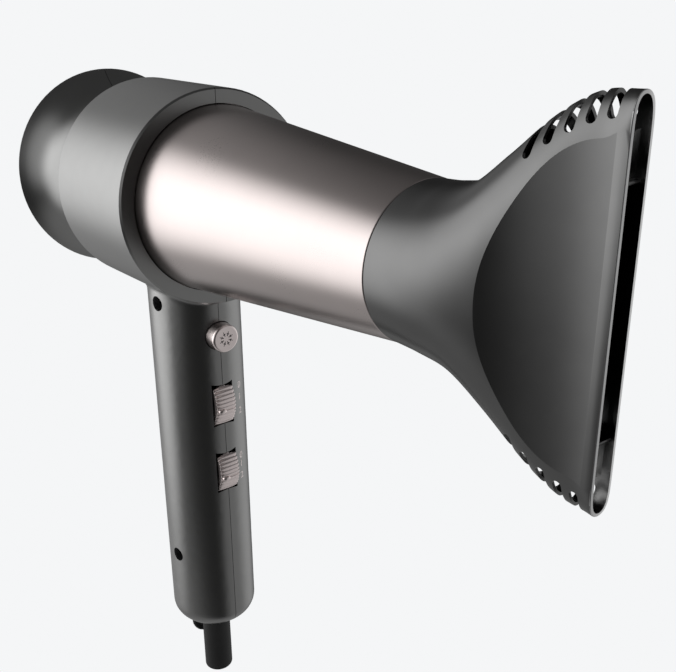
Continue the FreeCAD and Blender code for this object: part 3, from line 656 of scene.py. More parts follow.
# ---- housing
@dataclass
class Housing(Piece):
    """The two shells of the bell, neck, collar band and handle, and their screws."""

    screw_x: float = 3.0
    screw_drops: tuple[float, float] = (45.8, 171.0)
    head_y: float = -8.0
    grip_span: tuple[float, float] = (-73.1, 93.0)
    foot_z: float = -81.0
    foot_round: float = 8.0
    skin: float = 1.1                  # half of the wall
    seam: float = 0.13
    bell_x: float = -51.1              # where the neck turns into the flare
    flare_r: float = 25.4              # the flare's own curve
    lip_x: float = -72.4
    neck_r: float = 33.6
    neck_end: float = -30.2
    collar_r: float = 43.0
    collar_span: tuple[float, float] = (-29.65, 27.05)
    collar_lean: float = 0.0123
    collar_back: tuple[float, float] = (-30.4, -29.8)
    collar_front: float = 27.5
    step_r: float = 35.0               # the collar's two flat ends, down to here
    grip_only: float = 48.0            # below this drop from the axis there is only the grip
    grip_top: float = 36.0
    foot_flat: float = 0.5
    near: float = 0.1                  # how close to a stretch a point counts as on it

    def lacquered(self, p: Vector) -> bool:
        """Whether a point lies in the outer half of the shells' wall, which is what gets sprayed."""
        if abs(p.y) < self.seam:
            return False
        across = math.hypot(p.y, p.z - BARREL_Z)
        lift = self.foot_round - max(0.0, min(self.foot_round, p.z - self.foot_z))
        pull = self.foot_round - math.sqrt(max(0.0, self.foot_round ** 2 - lift ** 2)) + self.skin
        on_grip = math.hypot(p.x / max(1.0, GRIP_A - pull), p.y / max(1.0, GRIP_B - pull)) > 1
        if p.z < BARREL_Z - self.grip_only:
            return on_grip or p.z < self.foot_z + self.foot_flat
        return across > self.wall_r(p.x) and (on_grip or p.z > BARREL_Z - self.grip_top)

    def wall_r(self, x: float) -> float:
        """Radius of the middle of the wall round the barrel axis at x."""
        if x < self.bell_x:
            reach = (self.flare_r + self.skin) ** 2 - (x - self.bell_x) ** 2
            return self.neck_r + self.flare_r - math.sqrt(max(0.0, reach))
        if x < self.collar_back[0]:
            return self.neck_r - self.skin
        if x < self.collar_back[1] or x > self.collar_front:
            return self.step_r
        return self.collar_r - self.skin

    def true_normal(self, p: Vector) -> Vector | None:
        """The outside's exact normal at a point on one of its plain stretches."""
        across = math.hypot(p.y, p.z - BARREL_Z)
        lean = None
        if self.collar_span[0] < p.x < self.collar_span[1] and across > self.collar_r - self.near:
            lean = self.collar_lean
        elif self.bell_x <= p.x < self.neck_end and abs(across - self.neck_r) < self.near:
            lean = 0.0
        elif self.lip_x < p.x < self.bell_x:
            flare = math.asin(min(1.0, (self.bell_x - p.x) / self.flare_r))
            if abs(across - self.neck_r - self.flare_r * (1 - math.cos(flare))) < self.near:
                lean = flare
        if lean is not None:
            out = math.cos(lean) / across
            return Vector((math.sin(lean), out * p.y, out * (p.z - BARREL_Z)))
        oval = math.hypot(p.x / GRIP_A, p.y / GRIP_B)
        if self.grip_span[0] < p.z < self.grip_span[1] and abs(oval - 1) < 0.005:
            return Vector((p.x / GRIP_A ** 2, p.y / GRIP_B ** 2, 0)).normalized()
        return None

    def true_up(self, shell: Object) -> None:
        """Shade the plain stretches of a shell by their exact normals."""
        mesh = shell.data
        normals = [Vector(n.vector) for n in mesh.corner_normals]
        exact = [self.true_normal(v.co) for v in mesh.vertices]
        for face in mesh.polygons:
            for corner in face.loop_indices:
                normal = exact[mesh.loops[corner].vertex_index]
                if normal and normal.dot(face.normal) > 0.9:
                    normals[corner] = normal
        mesh.normals_split_custom_set(normals)

    def build(self) -> None:
        """Both shells and the two screws down their holes."""
        for side in ("left", "right"):
            shell = add_object(f"shell_{side}", smoothed_node(f"housing_{side}"))
            bare = [i for i, face in enumerate(shell.data.polygons) if not self.lacquered(face.center)]
            smooth(shell, 28.0, False)
            self.true_up(shell)
            self.hand_over(shell, "graphite_shell", [f"housing_{side}"], settled=True)
            shell.data.materials.append(FINISHES["inner_plastic"].material())
            for i in bare:
                shell.data.polygons[i].material_index = 1
        self.screws()
        self.seam_tongue()

    def seam_tongue(self) -> None:
        """Tongue inside the wall that keeps light from shining through the seam."""
        middle, high = self.flare_r + self.skin, self.neck_r + self.flare_r
        bell = [(self.bell_x - middle * math.sin(0.08 * k), high - middle * math.cos(0.08 * k))
                for k in range(12, -1, -1)]
        step_x, collar_r, handle_x = -29.3, 41.8, -19.5
        step = [*bell, (step_x, self.neck_r - self.skin), (step_x, collar_r)]
        over = [*step, (26.6, 41.5), (26.6, 38.6)]
        under = [*step, (handle_x, collar_r)]
        back = [(handle_x, -collar_r), (handle_x, -200.0)]
        pieces = []
        for path in (over, [(x, -r) for x, r in under], back):
            rings = []
            for i, (x, z) in enumerate(path):
                before, after = Vector(path[max(0, i - 1)]), Vector(path[min(len(path) - 1, i + 1)])
                ahead = (after - before).normalized()
                off = Vector((-ahead.y, ahead.x)) * 0.45
                rings.append([(x + sx * off.x, y, BARREL_Z + z + sx * off.y)
                              for sx, y in ((-1, -0.1), (1, -0.1), (1, 0.1), (-1, 0.1))])
            pieces.append(add_object("tongue", from_rings(rings)))
        join(*pieces)
        pieces[0].name = "seam_tongue"
        self.hand_over(pieces[0], "graphite_shell", finish="inner_plastic")

    def screws(self) -> None:
        """Pan heads with a cross recess, on their shanks."""
        head = rounded([(0, 0, 0), (0, 2.8, 0.2), (1.7, 2.8, 0.9), (2.35, 0, 0)])
        shank = [(-20, 0), (-19.4, 1.1), (-18, 1.5), (0.1, 1.5), (0.1, 0)]
        along_y = Matrix.Rotation(math.radians(90), 4, "X")
        screw = turned("screw", "steel", head, along_y, 48)
        for wide, high in ((0.45, 1.75), (1.75, 0.45)):
            corners = ((-wide, -high), (wide, -high), (wide, high), (-wide, high))
            cross = from_rings([[(x, y, z) for x, z in corners] for y in (-3.2, -0.8)])
            combine(screw, add_object("cross", cross), "DIFFERENCE")
        stem = turned("stem", "steel", shank, along_y, 32)
        combine(screw, stem, "UNION")
        mesh = screw.data.copy()
        drop(screw)
        top, bottom = self.screw_drops
        row = {"Count": 2, "First": (self.screw_x, self.head_y, BARREL_Z - top), "Offset": (0, 0, top - bottom)}
        screws = ROW.grow("shell_screws", "steel", row, mesh)
        self.hand_over(screws, "steel", ["handle_screws"])


# ---- barrel
@dataclass
class Barrel(Piece):
    """The tapered metal sleeve and the grille in its mouth."""

    seat_x: float = 25.35
    collar_x: float = 27.7
    base_r: float = 36.8
    mouth_x: float = 146.1
    mouth_r: float = 25.1
    wall: float = 1.8
    flange_r: float = 39.4
    flange_t: float = 1.6
    grille_x: tuple[float, float] = (127.5, 130.5)
    hub_r: float = 3.6

    def radius(self, x: float) -> float:
        """Outside radius at x."""
        share = (x - self.collar_x) / (self.mouth_x - self.collar_x)
        return self.base_r + (self.mouth_r - self.base_r) * share

    def build(self) -> None:
        """The sleeve with its trapped flange and rounded mouth edge."""
        seat, flange, rim_r = self.seat_x, self.seat_x - self.flange_t, self.flange_r
        outline = rounded([
            (flange, rim_r, 0.2), (seat, rim_r, 0.2), (seat, self.radius(seat), 0), (self.mouth_x, self.mouth_r, 0.4),
            (self.mouth_x, self.mouth_r - self.wall, 0.3), (flange, self.radius(flange) - self.wall, 0)])
        sleeve = turned("metal_sleeve", "champagne_metal", outline, steps=224)
        self.hand_over(sleeve, "champagne_metal", ["barrel_sleeve"])
        self.grille()

    def grille(self) -> None:
        """Three rings and six spokes round a hub."""
        x0, x1 = self.grille_x
        bar = rounded([(0.6, -x0, 0.3), (0.6, -x1, 0.5), (-0.6, -x1, 0.5), (-0.6, -x0, 0.3)], 3)
        rings = RINGS.grow("mouth_grille", "black_plastic",
                           {"Count": 3, "First Radius": 9.4, "Step": 7.2, "Steps": 96}, loop_mesh(bar))
        rings.data.transform(ALONG_BARREL)
        hub = turned("hub", "black_plastic",
                     rounded([(x0, 0, 0), (x0, self.hub_r, 0.3), (x1, self.hub_r, 0.8), (x1, 0, 0)]), steps=48)
        spoke = from_rings([[(x0 + 0.4, -0.7, z), (x1 - 0.6, -0.7, z), (x1 - 0.3, 0, z), (x1 - 0.6, 0.7, z),
                             (x0 + 0.4, 0.7, z)] for z in (3.0, 24.0)])
        spokes = set_round("spokes", "black_plastic", spoke, 6, 60)
        spokes.data.transform(UP_TO_BARREL)
        join(rings, hub, spokes)
        self.hand_over(rings, "black_plastic", ["outlet_grille"])


def join(first: Object, *others: Object) -> None:
    """Put the meshes of several objects into the first."""
    work = bmesh.new()
    for item in (first, *others):
        work.from_mesh(item.data)
    work.to_mesh(first.data)
    work.free()
    drop(*others)


# ---- nozzle
@dataclass
class Nozzle(Piece):
    """The slot nozzle: a round socket that flares into a tall, scooped mouth."""

    body: str = "nozzle"
    wall: float = 1.0
    stations: tuple[float, ...] = (146.5, 157.1, 168.2, 179.3, 190.4, 201.5, 212.6)
    half_heights: tuple[float, ...] = (25.1, 25.9, 28.6, 37.5, 47.0, 52.9, 53.8)
    half_widths: tuple[float, ...] = (25.1, 24.5, 22.3, 18.6, 13.6, 8.2, 4.32)
    squareness: tuple[float, ...] = (2.0, 2.0, 2.05, 2.2, 2.9, 4.6, 7.0)
    mouth_squareness: float = 17.0
    around: int = 160
    rows: int = 72
    edge: float = 0.3
    # depth of the mouth rim whose front faces get the painted highlight
    bright_depth: float = 0.45
    catch_x: tuple[float, float] = (150.5, 151.5)
    catch_r: tuple[float, float] = (23.3, 24.3)
    stay_drop: float = 33.0

    def at(self, values: Sequence[float], x: float) -> float:
        """A size between the stations, on a smooth curve through them."""
        xs = self.stations
        i = min(max(0, sum(x >= s for s in xs) - 1), len(xs) - 2)
        t = (x - xs[i]) / (xs[i + 1] - xs[i])

        def slope(k: int) -> float:
            """Slope of the curve at station k."""
            low, high = max(0, k - 1), min(len(xs) - 1, k + 1)
            return (values[high] - values[low]) / (high - low)
        a, b, m0, m1 = values[i], values[i + 1], slope(i), slope(i + 1)
        return ((2 * t ** 3 - 3 * t ** 2 + 1) * a + (t ** 3 - 2 * t ** 2 + t) * m0
                + (3 * t ** 2 - 2 * t ** 3) * b + (t ** 3 - t ** 2) * m1)

    def ring(self, x: float, inset: float) -> list[Point]:
        """The section at x, smaller all round by inset."""
        high = self.at(self.half_heights, x) - inset
        wide = self.at(self.half_widths, x) - inset
        last = max(0.0, (x - self.stations[-2]) / (self.stations[-1] - self.stations[-2]))
        square = self.at(self.squareness, x) + self.mouth_squareness * last ** 5
        points = []
        for i in range(self.around):
            angle = 2 * math.pi * (i + 0.5) / self.around
            lean = math.cos(angle)
            level = math.sin(angle)
            y = wide * (1 - abs(level) ** square) ** (1 / 2)
            points.append((x, math.copysign(y, lean), BARREL_Z + high * level))
        return points

    def form(self, inset: float, start: float, end: float, rounding: float = 0.0) -> Object:
        """The flared form between two stations, its front edge rounded."""
        count = self.rows
        rings = [self.ring(start + (end - rounding - start) * i / count, inset) for i in range(count + 1)]
        for k in range(1, 5 if rounding else 0):
            turn = math.pi / 2 * k / 4
            x = end - rounding + rounding * math.sin(turn)
            rings.append(self.ring(x, inset + rounding * (1 - math.cos(turn))))
        return add_object("form", from_rings(rings))

    def prism(self, inset: float, strip_too: bool = True) -> Object:
        """Upright block whose two sides curve inward, and end in the mouth's side strips."""
        start, pull, strip = Vector((181.9, 17.25)), Vector((193.9, 7.0)), Vector((210.4, 4.75))
        slope = (start.y - pull.y) / (pull.x - start.x)
        back = self.stations[0] - 3
        side = [Vector((back, start.y + slope * (start.x - back)))]
        for k in range(33):
            t = k / 32
            side.append(start * (1 - t) ** 2 + pull * (2 * t * (1 - t)) + strip * t ** 2)
        if strip_too:
            side.append(Vector((self.stations[-1] + 2, 3.92)))
        outline = [(p.x, p.y - inset) for p in side] + [(p.x, inset - p.y) for p in reversed(side)]
        levels = [BARREL_Z + h for h in (-70, -60, 60, 70)]
        return add_object("prism", from_rings([[(x, y, z) for x, y in outline] for z in levels]))

    def cutter(self) -> Mesh:
        """One slot cutter with a round inner end at the origin, standing up along +Z."""
        half, reach = 1.35, 20.0
        outline = [(half * math.cos(math.pi * k / 12 + math.pi), half * math.sin(math.pi * k / 12 + math.pi))
                   for k in range(13)] + [(half, 40.0), (-half, 40.0)]
        return from_rings([[(x, y, z) for x, z in outline] for y in (-reach, reach)])

    def build(self) -> None:
        """Outer and inner forms, vents, lip and the two stays in the mouth."""
        first, last = self.stations[0], self.stations[-1]
        shell = self.form(0.0, first, last, self.edge)
        combine(shell, self.prism(0.0), "INTERSECT")
        hollow = self.form(self.wall, first - 1.0, last + 1.0)
        combine(hollow, self.prism(self.wall), "INTERSECT")
        inner = add_object("inner", hollow.data.copy())
        combine(shell, hollow, "DIFFERENCE")
        for side in (-1.0, 1.0):
            vents = VENTS.grow("vents", "nozzle_plastic", {
                "Count": 5, "First X": 187.8, "Pitch": 4.87, "Edge Height": 38.0, "Rise": 8.2,
                "Curve": 1.7, "Drift": 2.4, "Side": side, "Axis Height": BARREL_Z}, self.cutter())
            combine(shell, vents, "DIFFERENCE")
        for z in (-self.stay_drop, self.stay_drop):
            stay = add_object("stay", from_rings([[(x, y, BARREL_Z + z + h) for x, h in (
                (202.0, -0.4), (211.2, -0.4), (211.4, 0), (211.2, 0.4), (202.0, 0.4))] for y in (-9.0, 9.0)]))
            combine(stay, add_object("trim", inner.data.copy()), "INTERSECT")
            join(shell, stay)
        drop(inner)
        (x0, x1), (low, high) = self.catch_x, self.catch_r
        catch = rounded([(x0, low, 0.2), (x1, low, 0.2), (x1, high, 0), (x0, high, 0)], 3)
        join(shell, turned("catch", "nozzle_plastic", catch))
        shell.name = "slot_nozzle"
        clean = {self.form(0.0, first, last, self.edge): 0.9, self.form(self.wall, first - 1.0, last + 1.0): 0.9,
                 self.prism(0.0, False): 0.999, self.prism(self.wall, False): 0.999}
        smooth(shell, 12.0)
        settle(shell, clean)
        self.hand_over(shell, "nozzle_plastic", ["nozzle_shell"], settled=True)
        # Painted highlight: the front faces of the mouth rim take the lighter copy of the lacquer instead of catching
        # the highlight from light.
        shell.data.materials.append(FINISHES["bright_edge"].material())
        for face in shell.data.polygons:
            if face.center.x > (last - self.bright_depth) * MM and face.normal.x > 0.3:
                face.material_index = 1


@dataclass
class NozzleClip(Piece):
    """The sprung ring that holds the nozzle in the barrel's mouth."""

    body: str = "nozzle_clip"
    ends_x: tuple[float, float] = (135.0, 151.1)
    ring_r: tuple[float, float] = (21.5, 22.9)
    stop_x: tuple[float, float] = (147.1, 149.1)
    stop_r: float = 23.75

    def build(self) -> None:
        """The ring and its stop flange."""
        (x0, x1), (low, high), (stop0, stop1) = self.ends_x, self.ring_r, self.stop_x
        outline = rounded([(x0, low, 0.2), (x0, high, 0.4), (stop0, high, 0), (stop0, self.stop_r, 0.2),
                           (stop1, self.stop_r, 0.2), (stop1, high, 0), (x1, high, 0.2), (x1, low, 0.2)])
        self.hand_over(turned("clip_ring", "black_plastic", outline), "black_plastic", ["nozzle_clip_ring"])


# ---- controls
@dataclass
class CoolShot(Piece):
    """The round button with its ring of frost marks."""

    body: str = "cool_shot"
    drop: float = 59.7
    radius: float = 6.2
    face_x: float = 25.8
    back_x: float = 13.4
    bore_r: float = 4.9
    flange_r: float = 7.4
    flange_t: float = 1.3
    front_wall: float = 1.8
    dish: float = 0.06
    stem_x: float = 12.9
    stem_r: float = 1.6

    def build(self) -> None:
        """Cap with a rounded edge, and the printed marks on its face."""
        place = Matrix.Translation((0, 0, -self.drop)) @ ALONG_BARREL
        back, face = self.back_x, self.face_x
        outline = rounded([
            (back, self.bore_r, 0), (back, self.flange_r, 0.2), (back + self.flange_t, self.flange_r, 0.2),
            (back + self.flange_t, self.radius, 0), (face, self.radius, 1.1), (face - self.dish, 0, 0),
            (face - self.front_wall, 0, 0), (face - self.front_wall, self.bore_r, 0)])
        cap = turned("cool_button", "champagne_plastic", outline, place, 128)
        stem = rounded([(self.stem_x, 0, 0), (self.stem_x, self.stem_r, 0.2), (face - 1.0, self.stem_r, 0),
                        (face - 1.0, 0, 0)])
        join(cap, turned("stem", "champagne_plastic", stem, place, 48))
        self.hand_over(cap, "champagne_plastic", ["cool_shot_button"], sharp=24.0)
        self.marks()

    def marks(self) -> None:
        """Eight small barbed strokes set in a ring."""
        stroke = [(1.25, -0.17), (1.90, -0.17), (2.30, -0.66), (2.62, -0.46), (2.36, -0.13), (3.40, -0.13),
                  (3.40, 0.13), (2.36, 0.13), (2.62, 0.46), (2.30, 0.66), (1.90, 0.17), (1.25, 0.17)]
        face = self.face_x - 0.03
        arm = from_rings([[(x, y, z) for z, y in stroke] for x in (face - 0.02, face + 0.03)])
        ring = set_round("frost_marks", "dark_print", arm, 8, 45, 22.5)
        ring.data.transform(Matrix.Translation((0, 0, BARREL_Z - self.drop)))
        self.hand_over(ring, "black_plastic", finish="dark_print")


@dataclass
class Thumbwheel(Piece):
    """A ribbed thumbwheel with a raised pointer, its tab, and the three marks beside it."""

    name: str = "speed"
    drop: float = 92.0
    mark_drops: tuple[float, float, float] = (86.2, 91.9, 98.7)
    mark_y: float = 9.7
    centre_x: float = 9.05
    radius: float = 14.4
    half: float = 4.8
    low: float = -64.0
    high: float = 37.0
    tab_high: float = 70.0
    rib_step: float = 7.2
    pointer: float = -8.0
    crown: float = 0.4
    print_clear: float = 0.005

    def lift(self, y: float) -> float:
        """How far the crowned rim falls away at y."""
        return self.crown * (y / self.half) ** 2

    def arc_block(self, r0: float, r1: float, half: float, low: float, high: float,
                  round_r: float = 0.25, close_in: bool = False) -> Object:
        """A curved block between two radii and two angles, with rounded long edges.

        Where close_in is set, its high end draws in towards the middle.
        """
        count = max(2, int(abs(high - low) / 1.5))
        rings = []
        for i in range(count + 1):
            degrees = low + (high - low) * i / count
            angle = math.radians(degrees)
            taper = min(1.0, (high - degrees) / 5 + 0.6) if close_in else 1.0
            wide = half * math.sqrt(taper)
            across = [wide * (k / 8 - 1) for k in range(17)]
            crest = [(r1 - self.lift(y) - round_r * abs(y / wide) ** 12, y) for y in across]
            section = [(r0, -wide), *crest, (r0, wide)]
            rings.append([(r * math.cos(angle), y, r * math.sin(angle)) for r, y in section])
        return add_object("block", from_rings(rings))

    def rib(self) -> Mesh:
        """One rounded rib across the rim, at angle 0."""
        wide, tall = 0.92, 0.42
        base = self.radius - tall
        rings = []
        for k in range(-10, 11):
            t = k / 10
            y = (self.half - 0.1) * math.sin(t * math.pi / 2)
            shrink = math.sqrt(max(0.0, 1 - abs(t) ** 5)) * 0.999 + 0.001
            top = tall * (0.25 + 0.75 * shrink) + 0.3
            foot = base - 0.3 - self.lift(y)
            rings.append([(foot + top * max(0.0, math.sin(a)), y, wide * shrink * math.cos(a))
                          for a in (math.pi * j / 12 for j in range(13))])
        return from_rings(rings)

    def arrow(self) -> Object:
        """The raised pointer: a rounded nose at the left with a low tail towards the marks."""
        base = self.radius - 1.6
        rings = []
        for k in range(25):
            y = -4.2 + 8.4 * k / 24
            nose = math.sqrt(max(0.0, 1 - ((y + 2.3) / 1.9) ** 2))
            wide = max(1.5 * nose, 0.5 * (1 - k / 30))
            crest = self.radius - self.lift(y) + max(0.95 * nose, 0.02)
            arc = [(base + (crest - base) * math.cos(a) ** 0.5, y, wide * math.sin(a))
                   for a in (math.radians(15 * j) for j in range(-5, 6))]
            rings.append([(base, y, -wide), *arc, (base, y, wide)])
        mesh = from_rings(rings)
        mesh.transform(Matrix.Rotation(math.radians(-self.pointer), 4, "Y"))
        return add_object("arrow", mesh)

    def build(self) -> None:
        """Rim, ribs, pointer, tab, web and hub as one piece, then the marks."""
        inner, rim = self.radius - 3.0, self.radius - 0.24
        wheel = self.arc_block(inner, rim, self.half - 0.15, self.low, self.high, 0.6, True)
        count = int((self.high - self.low) / self.rib_step)
        ribs = set_round("ribs", "champagne_plastic", self.rib(), count, -self.rib_step,
                         -(self.low + self.rib_step * 0.5), (0, 1, 0))
        tab = self.arc_block(inner, self.radius - 0.9, 1.6, self.high - 2, self.tab_high, 0.5)
        web = self.arc_block(2.5, self.radius - 2.8, 1.2, self.low + 4, self.high - 2)
        hub_outline = rounded([(-self.half, 1.3, 0), (-self.half, 3.0, 0.3), (self.half, 3.0, 0.3),
                               (self.half, 1.3, 0)])
        hub = turned("hub", "champagne_plastic", hub_outline, Matrix.Rotation(math.radians(-90), 4, "X"), 64)
        join(wheel, ribs, tab, web, hub, self.arrow())
        wheel.data.transform(Matrix.Translation((self.centre_x, 0, BARREL_Z - self.drop)))
        wheel.name = f"{self.name}_wheel_ribbed"
        self.hand_over(wheel, "champagne_plastic", [f"{self.name}_thumbwheel"], sharp=38.0)
        self.marks()

    def marks(self) -> None:
        """The numbers 0, 1 and 2 printed on the handle beside the wheel."""
        made = []
        for text, drop_z in zip("012", self.mark_drops):
            curve = bpy.data.curves.new("mark", "FONT")
            curve.body, curve.size, curve.extrude, curve.align_x, curve.align_y = text, 4.7, 0.03, "CENTER", "CENTER"
            curve.resolution_u, curve.offset = 6, 0.015
            letter = add_object("mark", curve)
            mesh = plain_mesh(letter)
            drop(letter)
            for vertex in mesh.vertices:
                right, up, out = vertex.co
                vertex.co = self.on_handle(right, BARREL_Z - drop_z + up, out)
            made.append(add_object("mark", mesh))
        join(made[0], *made[1:])
        made[0].name = f"{self.name}_marks"
        outward(made[0].data, 0.0005)
        Piece().hand_over(made[0], "champagne_plastic", finish="champagne_print")

    def on_handle(self, right: float, height: float, out: float) -> Vector:
        """A point of a print wrapped on the handle's oval side."""
        angle = math.asin(self.mark_y / GRIP_B)
        angle += right / math.hypot(GRIP_A * math.sin(angle), GRIP_B * math.cos(angle))
        x, y = GRIP_A * math.cos(angle), GRIP_B * math.sin(angle)
        normal = Vector((x / GRIP_A ** 2, y / GRIP_B ** 2, 0)).normalized()
        return Vector((x, y, height)) + normal * (out + self.print_clear)


# ---- cord sleeve and loop
@dataclass
class CordEnd(Piece):
    """The rubber cord sleeve and the hanging loop under the handle."""

    foot: float = 211.0
    sleeve_r: float = 6.85
    bore_r: float = 3.6
    sleeve_end: float = 247.0
    sleeve_top: float = 196.0
    flange_r: float = 8.2
    flange_t: float = 2.8
    loop_x: float = -9.5
    loop_half: float = 8.3
    loop_bar: float = 3.2
    loop_thick: float = 2.6
    loop_end: float = 231.5

    def build(self) -> None:
        """The sleeve, open for its cord, and the loop."""
        flange = -self.foot + 2.7
        outline = rounded([
            (-self.sleeve_end, self.bore_r, 0.5), (-self.sleeve_end, self.sleeve_r, 1.2), (flange, self.sleeve_r, 0),
            (flange, self.flange_r, 0.2), (flange + self.flange_t, self.flange_r, 0.2),
            (flange + self.flange_t, self.sleeve_r, 0),
            (-self.sleeve_top, self.sleeve_r, 0.4), (-self.sleeve_top, self.bore_r, 0.3)], 6)
        sleeve = turned("cord_sleeve", "black_rubber", outline, UP_TO_BARREL, 128)
        self.hand_over(sleeve, "black_rubber", ["strain_relief"])
        self.loop()

    def loop(self) -> None:
        """A rounded bar bent into a U, with a foot on each leg."""
        middle = self.loop_half - self.loop_bar / 2
        low = BARREL_Z - self.loop_end + self.loop_half
        top = BARREL_Z - self.foot + 6.5
        bend = [(-middle * math.cos(a), low - middle * math.sin(a), a) for a in (math.pi * k / 36 for k in range(37))]
        path = [(-middle, top, 0.0), (-middle, low + 2, 0.0), *bend, (middle, low + 2, math.pi), (middle, top, math.pi)]
        half_w, half_t = self.loop_bar / 2, self.loop_thick / 2
        section = rounded([(-half_w, -half_t, 1.0), (half_w, -half_t, 1.0), (half_w, half_t, 1.0),
                           (-half_w, half_t, 1.0)], 5)
        rings = []
        for y, z, angle in path:
            out = Vector((0, -math.cos(angle), -math.sin(angle)))
            centre = Vector((self.loop_x, y, z))
            rings.append([centre + out * a + Vector((b, 0, 0)) for a, b in section])
        loop = add_object("hang_loop", from_rings(rings))
        for side in (-1, 1):
            y0, y1 = sorted((side * 4.2, side * self.loop_half))
            foot_z = BARREL_Z - self.foot + 3.5
            x0, x1 = self.loop_x - 2.4, self.loop_x + 2.0
            corners = rounded([(x0, y0, 0.5), (x1, y0, 0.5), (x1, y1, 0.5), (x0, y1, 0.5)], 3)
            foot = add_object("foot", from_rings([[(x, y, foot_z + h) for x, y in corners] for h in (0.0, 3.0)]))
            join(loop, foot)
        self.hand_over(loop, "black_rubber", ["hanging_loop"])


# ---- rear cover
@dataclass
class RearCover(Piece):
    """The lift-off grille in the bell and the woven filter behind it."""

    body: str = "rear_cover"
    face_x: float = -73.0
    face_t: float = 1.6
    skirt_r: float = 34.9
    skirt_x: float = -66.2
    skirt_t: float = 1.2
    rim_r: float = 37.0
    hub_r: float = 5.6
    filter_x: float = -69.2

    def build(self) -> None:
        """Flange and skirt turned in one, eight rings, eight spokes, and the filter."""
        x0, x1 = self.face_x, self.face_x + self.face_t
        rim = turned("air_grille", "graphite_shell", rounded([
            (x0, self.rim_r, 0.3), (x0, 41.75, 0.25), (x1, 39.65, 0.2), (x1, self.rim_r, 0.2)]))
        bore, x2 = self.skirt_r - self.skirt_t, x0 + 0.6
        skirt = turned("skirt", "graphite_shell", rounded([
            (x2, bore, 0.2), (x2, self.skirt_r, 0.2), (self.skirt_x, self.skirt_r, 0.3), (self.skirt_x, bore, 0.3)]))
        hub = turned("hub", "graphite_shell", rounded([
            (x0 + 0.1, 0, 0), (x0 + 0.1, self.hub_r, 0.6), (x1, self.hub_r, 0.2), (x1, 0, 0)]), steps=64)
        bar = rounded([(0.7, -(x0 + 0.3), 0.5), (0.7, -x1, 0.2), (-0.7, -x1, 0.2), (-0.7, -(x0 + 0.3), 0.5)], 3)
        rings = RINGS.grow("rings", "graphite_shell", {"Count": 8, "First Radius": 7.8, "Step": 3.5, "Steps": 96},
                           loop_mesh(bar))
        rings.data.transform(ALONG_BARREL)
        spoke = from_rings([[(x0 + 0.5, -0.5, z), (x0 + 0.7, -0.7, z), (x1 + 0.6, -0.7, z), (x1 + 0.6, 0.7, z),
                             (x0 + 0.7, 0.7, z), (x0 + 0.5, 0.5, z)] for z in (4.5, 37.6)])
        spokes = set_round("spokes", "graphite_shell", spoke, 8, 45)
        spokes.data.transform(UP_TO_BARREL)
        join(rim, skirt, hub, rings, spokes)
        self.hand_over(rim, "graphite_shell", ["rear_grille"])
        wires = WEAVE.grow("filter_wires", "steel", {"Radius": self.skirt_r - 1.4, "Pitch": 0.9, "Wire": 0.2})
        wires.data.transform(Matrix.Translation((self.filter_x, 0, 0)) @ ALONG_BARREL)
        self.hand_over(wires, "steel", ["filter_mesh"], sharp=80.0)


# ---- inside
@dataclass
class Insides(Piece):
    """The CAD pieces inside, which keep their shape and take their finishes."""

    polished: tuple[str, ...] = ("fan_impeller", "fan_duct", "motor_can", "motor_end_cap", "motor_shaft",
                                 "heater_liner", "heater_coils", "button_spring")
    spring_foot: tuple[float, float, float] = (0.0101, 0, 0.0703)
    spring_yield: float = 0.8

    def build(self) -> None:
        """Smooth copies of the round pieces that show when the dryer is opened; finishes for the rest."""
        slots = {part["node"]: part["material_slot"] for part in frame["record"]["subparts"]}
        for name, item in frame["nodes"].items():
            if item.hide_render:
                continue
            if name in self.polished:
                copy = add_object(f"{name}_smooth", smoothed_node(name))
                self.body = item["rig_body"]
                self.hand_over(copy, slots[name], [name])
                if name == "button_spring":
                    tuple(self.spring_foot)
                    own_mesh(copy)
            else:
                item.data.materials.clear()
                item.data.materials.append(FINISHES[slots[name]].material())
                log.info("%s: kept, %s", name, slots[name])


# ---- studio
@dataclass
class Glow:
    """A soft patch of light far away, as seen from the dryer."""

    heading: float
    height: float
    strength: float
    reach: float
    core: float

    def seen(self, sight: Value) -> Value:
        """Brightness in each direction; reach and core are degrees from the patch's middle."""
        turn, rise, reach, core = (math.radians(v) for v in (self.heading, self.height, self.reach, self.core))
        middle = (math.cos(turn) * math.cos(rise), math.sin(turn) * math.cos(rise), math.sin(rise))
        return sight.dot(middle).within(math.cos(reach), math.cos(core)) * self.strength


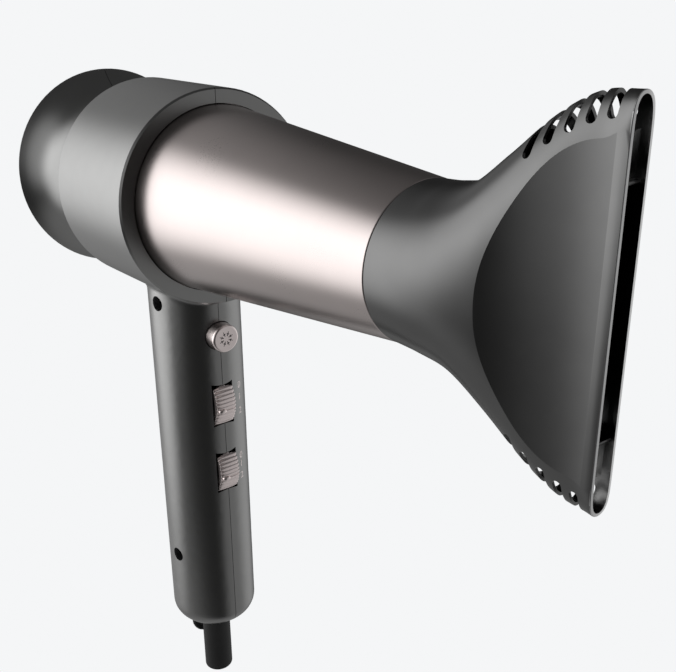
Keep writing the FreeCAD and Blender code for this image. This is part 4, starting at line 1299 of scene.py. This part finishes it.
@dataclass
class Studio:
    """Pale floor, soft surroundings and the camera."""

    floor_z: float = -450.0
    eye: tuple[float, float, float] = (0.32445, -0.17250, 0.20023)
    heading: float = 52.127
    tilt: float = 20.673
    roll: float = -0.382
    lens: float = 46.07
    ambient: float = 0.035
    backdrop: Rgb = (0.913, 0.921, 0.930)
    glows: tuple[Glow, ...] = (
        Glow(228, 3, 1.72, 46, 5),
        Glow(190, 5, 0.35, 50, 15),
        Glow(271, 16, 0.66, 43, 12),
        Glow(215, -70, 0.32, 60, 30),
        Glow(92, -14, 0.40, 45, 12),
        Glow(58, -18, 0.34, 62, 32),
        Glow(0, 90, 0.05, 70, 37),
    )

    def build(self) -> None:
        """Make the floor, the surroundings and the camera."""
        self.floor()
        self.surroundings()
        self.camera()

    def floor(self) -> None:
        """A plain pale floor, lit evenly."""
        half = 6.0
        mesh = bpy.data.meshes.new("floor")
        z = self.floor_z * MM
        mesh.from_pydata([(-half, -half, z), (half, -half, z), (half, half, z), (-half, half, z)], [], [(0, 1, 2, 3)])
        made = add_object("floor", mesh)
        material = bpy.data.materials.new("floor_paper")
        g = Graph.of(material)
        shader = g.node("ShaderNodeBsdfPrincipled", {}, {
            "Base Color": (0.0, 0.0, 0.0), "Roughness": 0.9, "Specular IOR Level": 0.0,
            "Emission Color": self.backdrop, "Emission Strength": 1.0})
        g.node("ShaderNodeOutputMaterial", {}, {"Surface": shader})
        mesh.materials.append(material)
        material.cycles.emission_sampling = "NONE"
        made.visible_glossy = False

    def surroundings(self) -> None:
        """Soft light from a large patch on the left, fills behind, and a dark ceiling and front."""
        world = bpy.data.worlds.new("studio")
        bpy.context.scene.world = world
        g = Graph.of(world)
        sight = g.node("ShaderNodeTexCoord", output="Generated")
        light: Any = self.ambient
        for glow in self.glows:
            light = glow.seen(sight) + light
        seen = g.node("ShaderNodeLightPath", output="Is Camera Ray")
        colour = g.node("ShaderNodeCombineXYZ", {}, [light, light, light])
        mixed = g.node("ShaderNodeMix", {"data_type": "RGBA"},
                       {"Factor_Float": seen, "A_Color": colour, "B_Color": self.backdrop}, "Result_Color")
        shader = g.node("ShaderNodeBackground", {}, {"Color": mixed, "Strength": 1.0})
        g.node("ShaderNodeOutputWorld", {}, {"Surface": shader})

    def camera(self) -> None:
        """The camera, level with the nozzle and turned to the dryer's front left."""
        a, e, roll = (math.radians(v) for v in (self.heading, self.tilt, self.roll))
        back = Vector((math.sin(a) * math.cos(e), -math.cos(a) * math.cos(e), math.sin(e)))
        right = Vector((math.cos(a), math.sin(a), 0))
        up = back.cross(right)
        across = right * math.cos(roll) + up * math.sin(roll)
        upward = up * math.cos(roll) - right * math.sin(roll)
        data = bpy.data.cameras.new("camera")
        data.lens, data.sensor_width = self.lens, 36.0
        made = bpy.data.objects.new("camera", data)
        bpy.context.scene.collection.objects.link(made)
        made.matrix_world = Matrix.Translation(self.eye) @ Matrix((across, upward, back)).transposed().to_4x4()
        bpy.context.scene.camera = made
        bpy.context.scene.view_settings.view_transform = "Standard"


def main() -> None:
    """Build every sub-assembly, then the studio."""
    logging.basicConfig(level=logging.INFO, format="%(name)s: %(message)s")
    assemblies = (
        Studio(), Housing(), Barrel(), Nozzle(), NozzleClip(), CoolShot(),
        Thumbwheel(body="speed_wheel"),
        Thumbwheel(body="heat_wheel", name="heat", drop=125.2, mark_drops=(120.8, 125.2, 131.1), mark_y=8.6),
        CordEnd(), RearCover(), Insides())
    for assembly in assemblies:
        log.info("building %s", type(assembly).__name__)
        assembly.build()


if __name__ == "__main__":
    main()
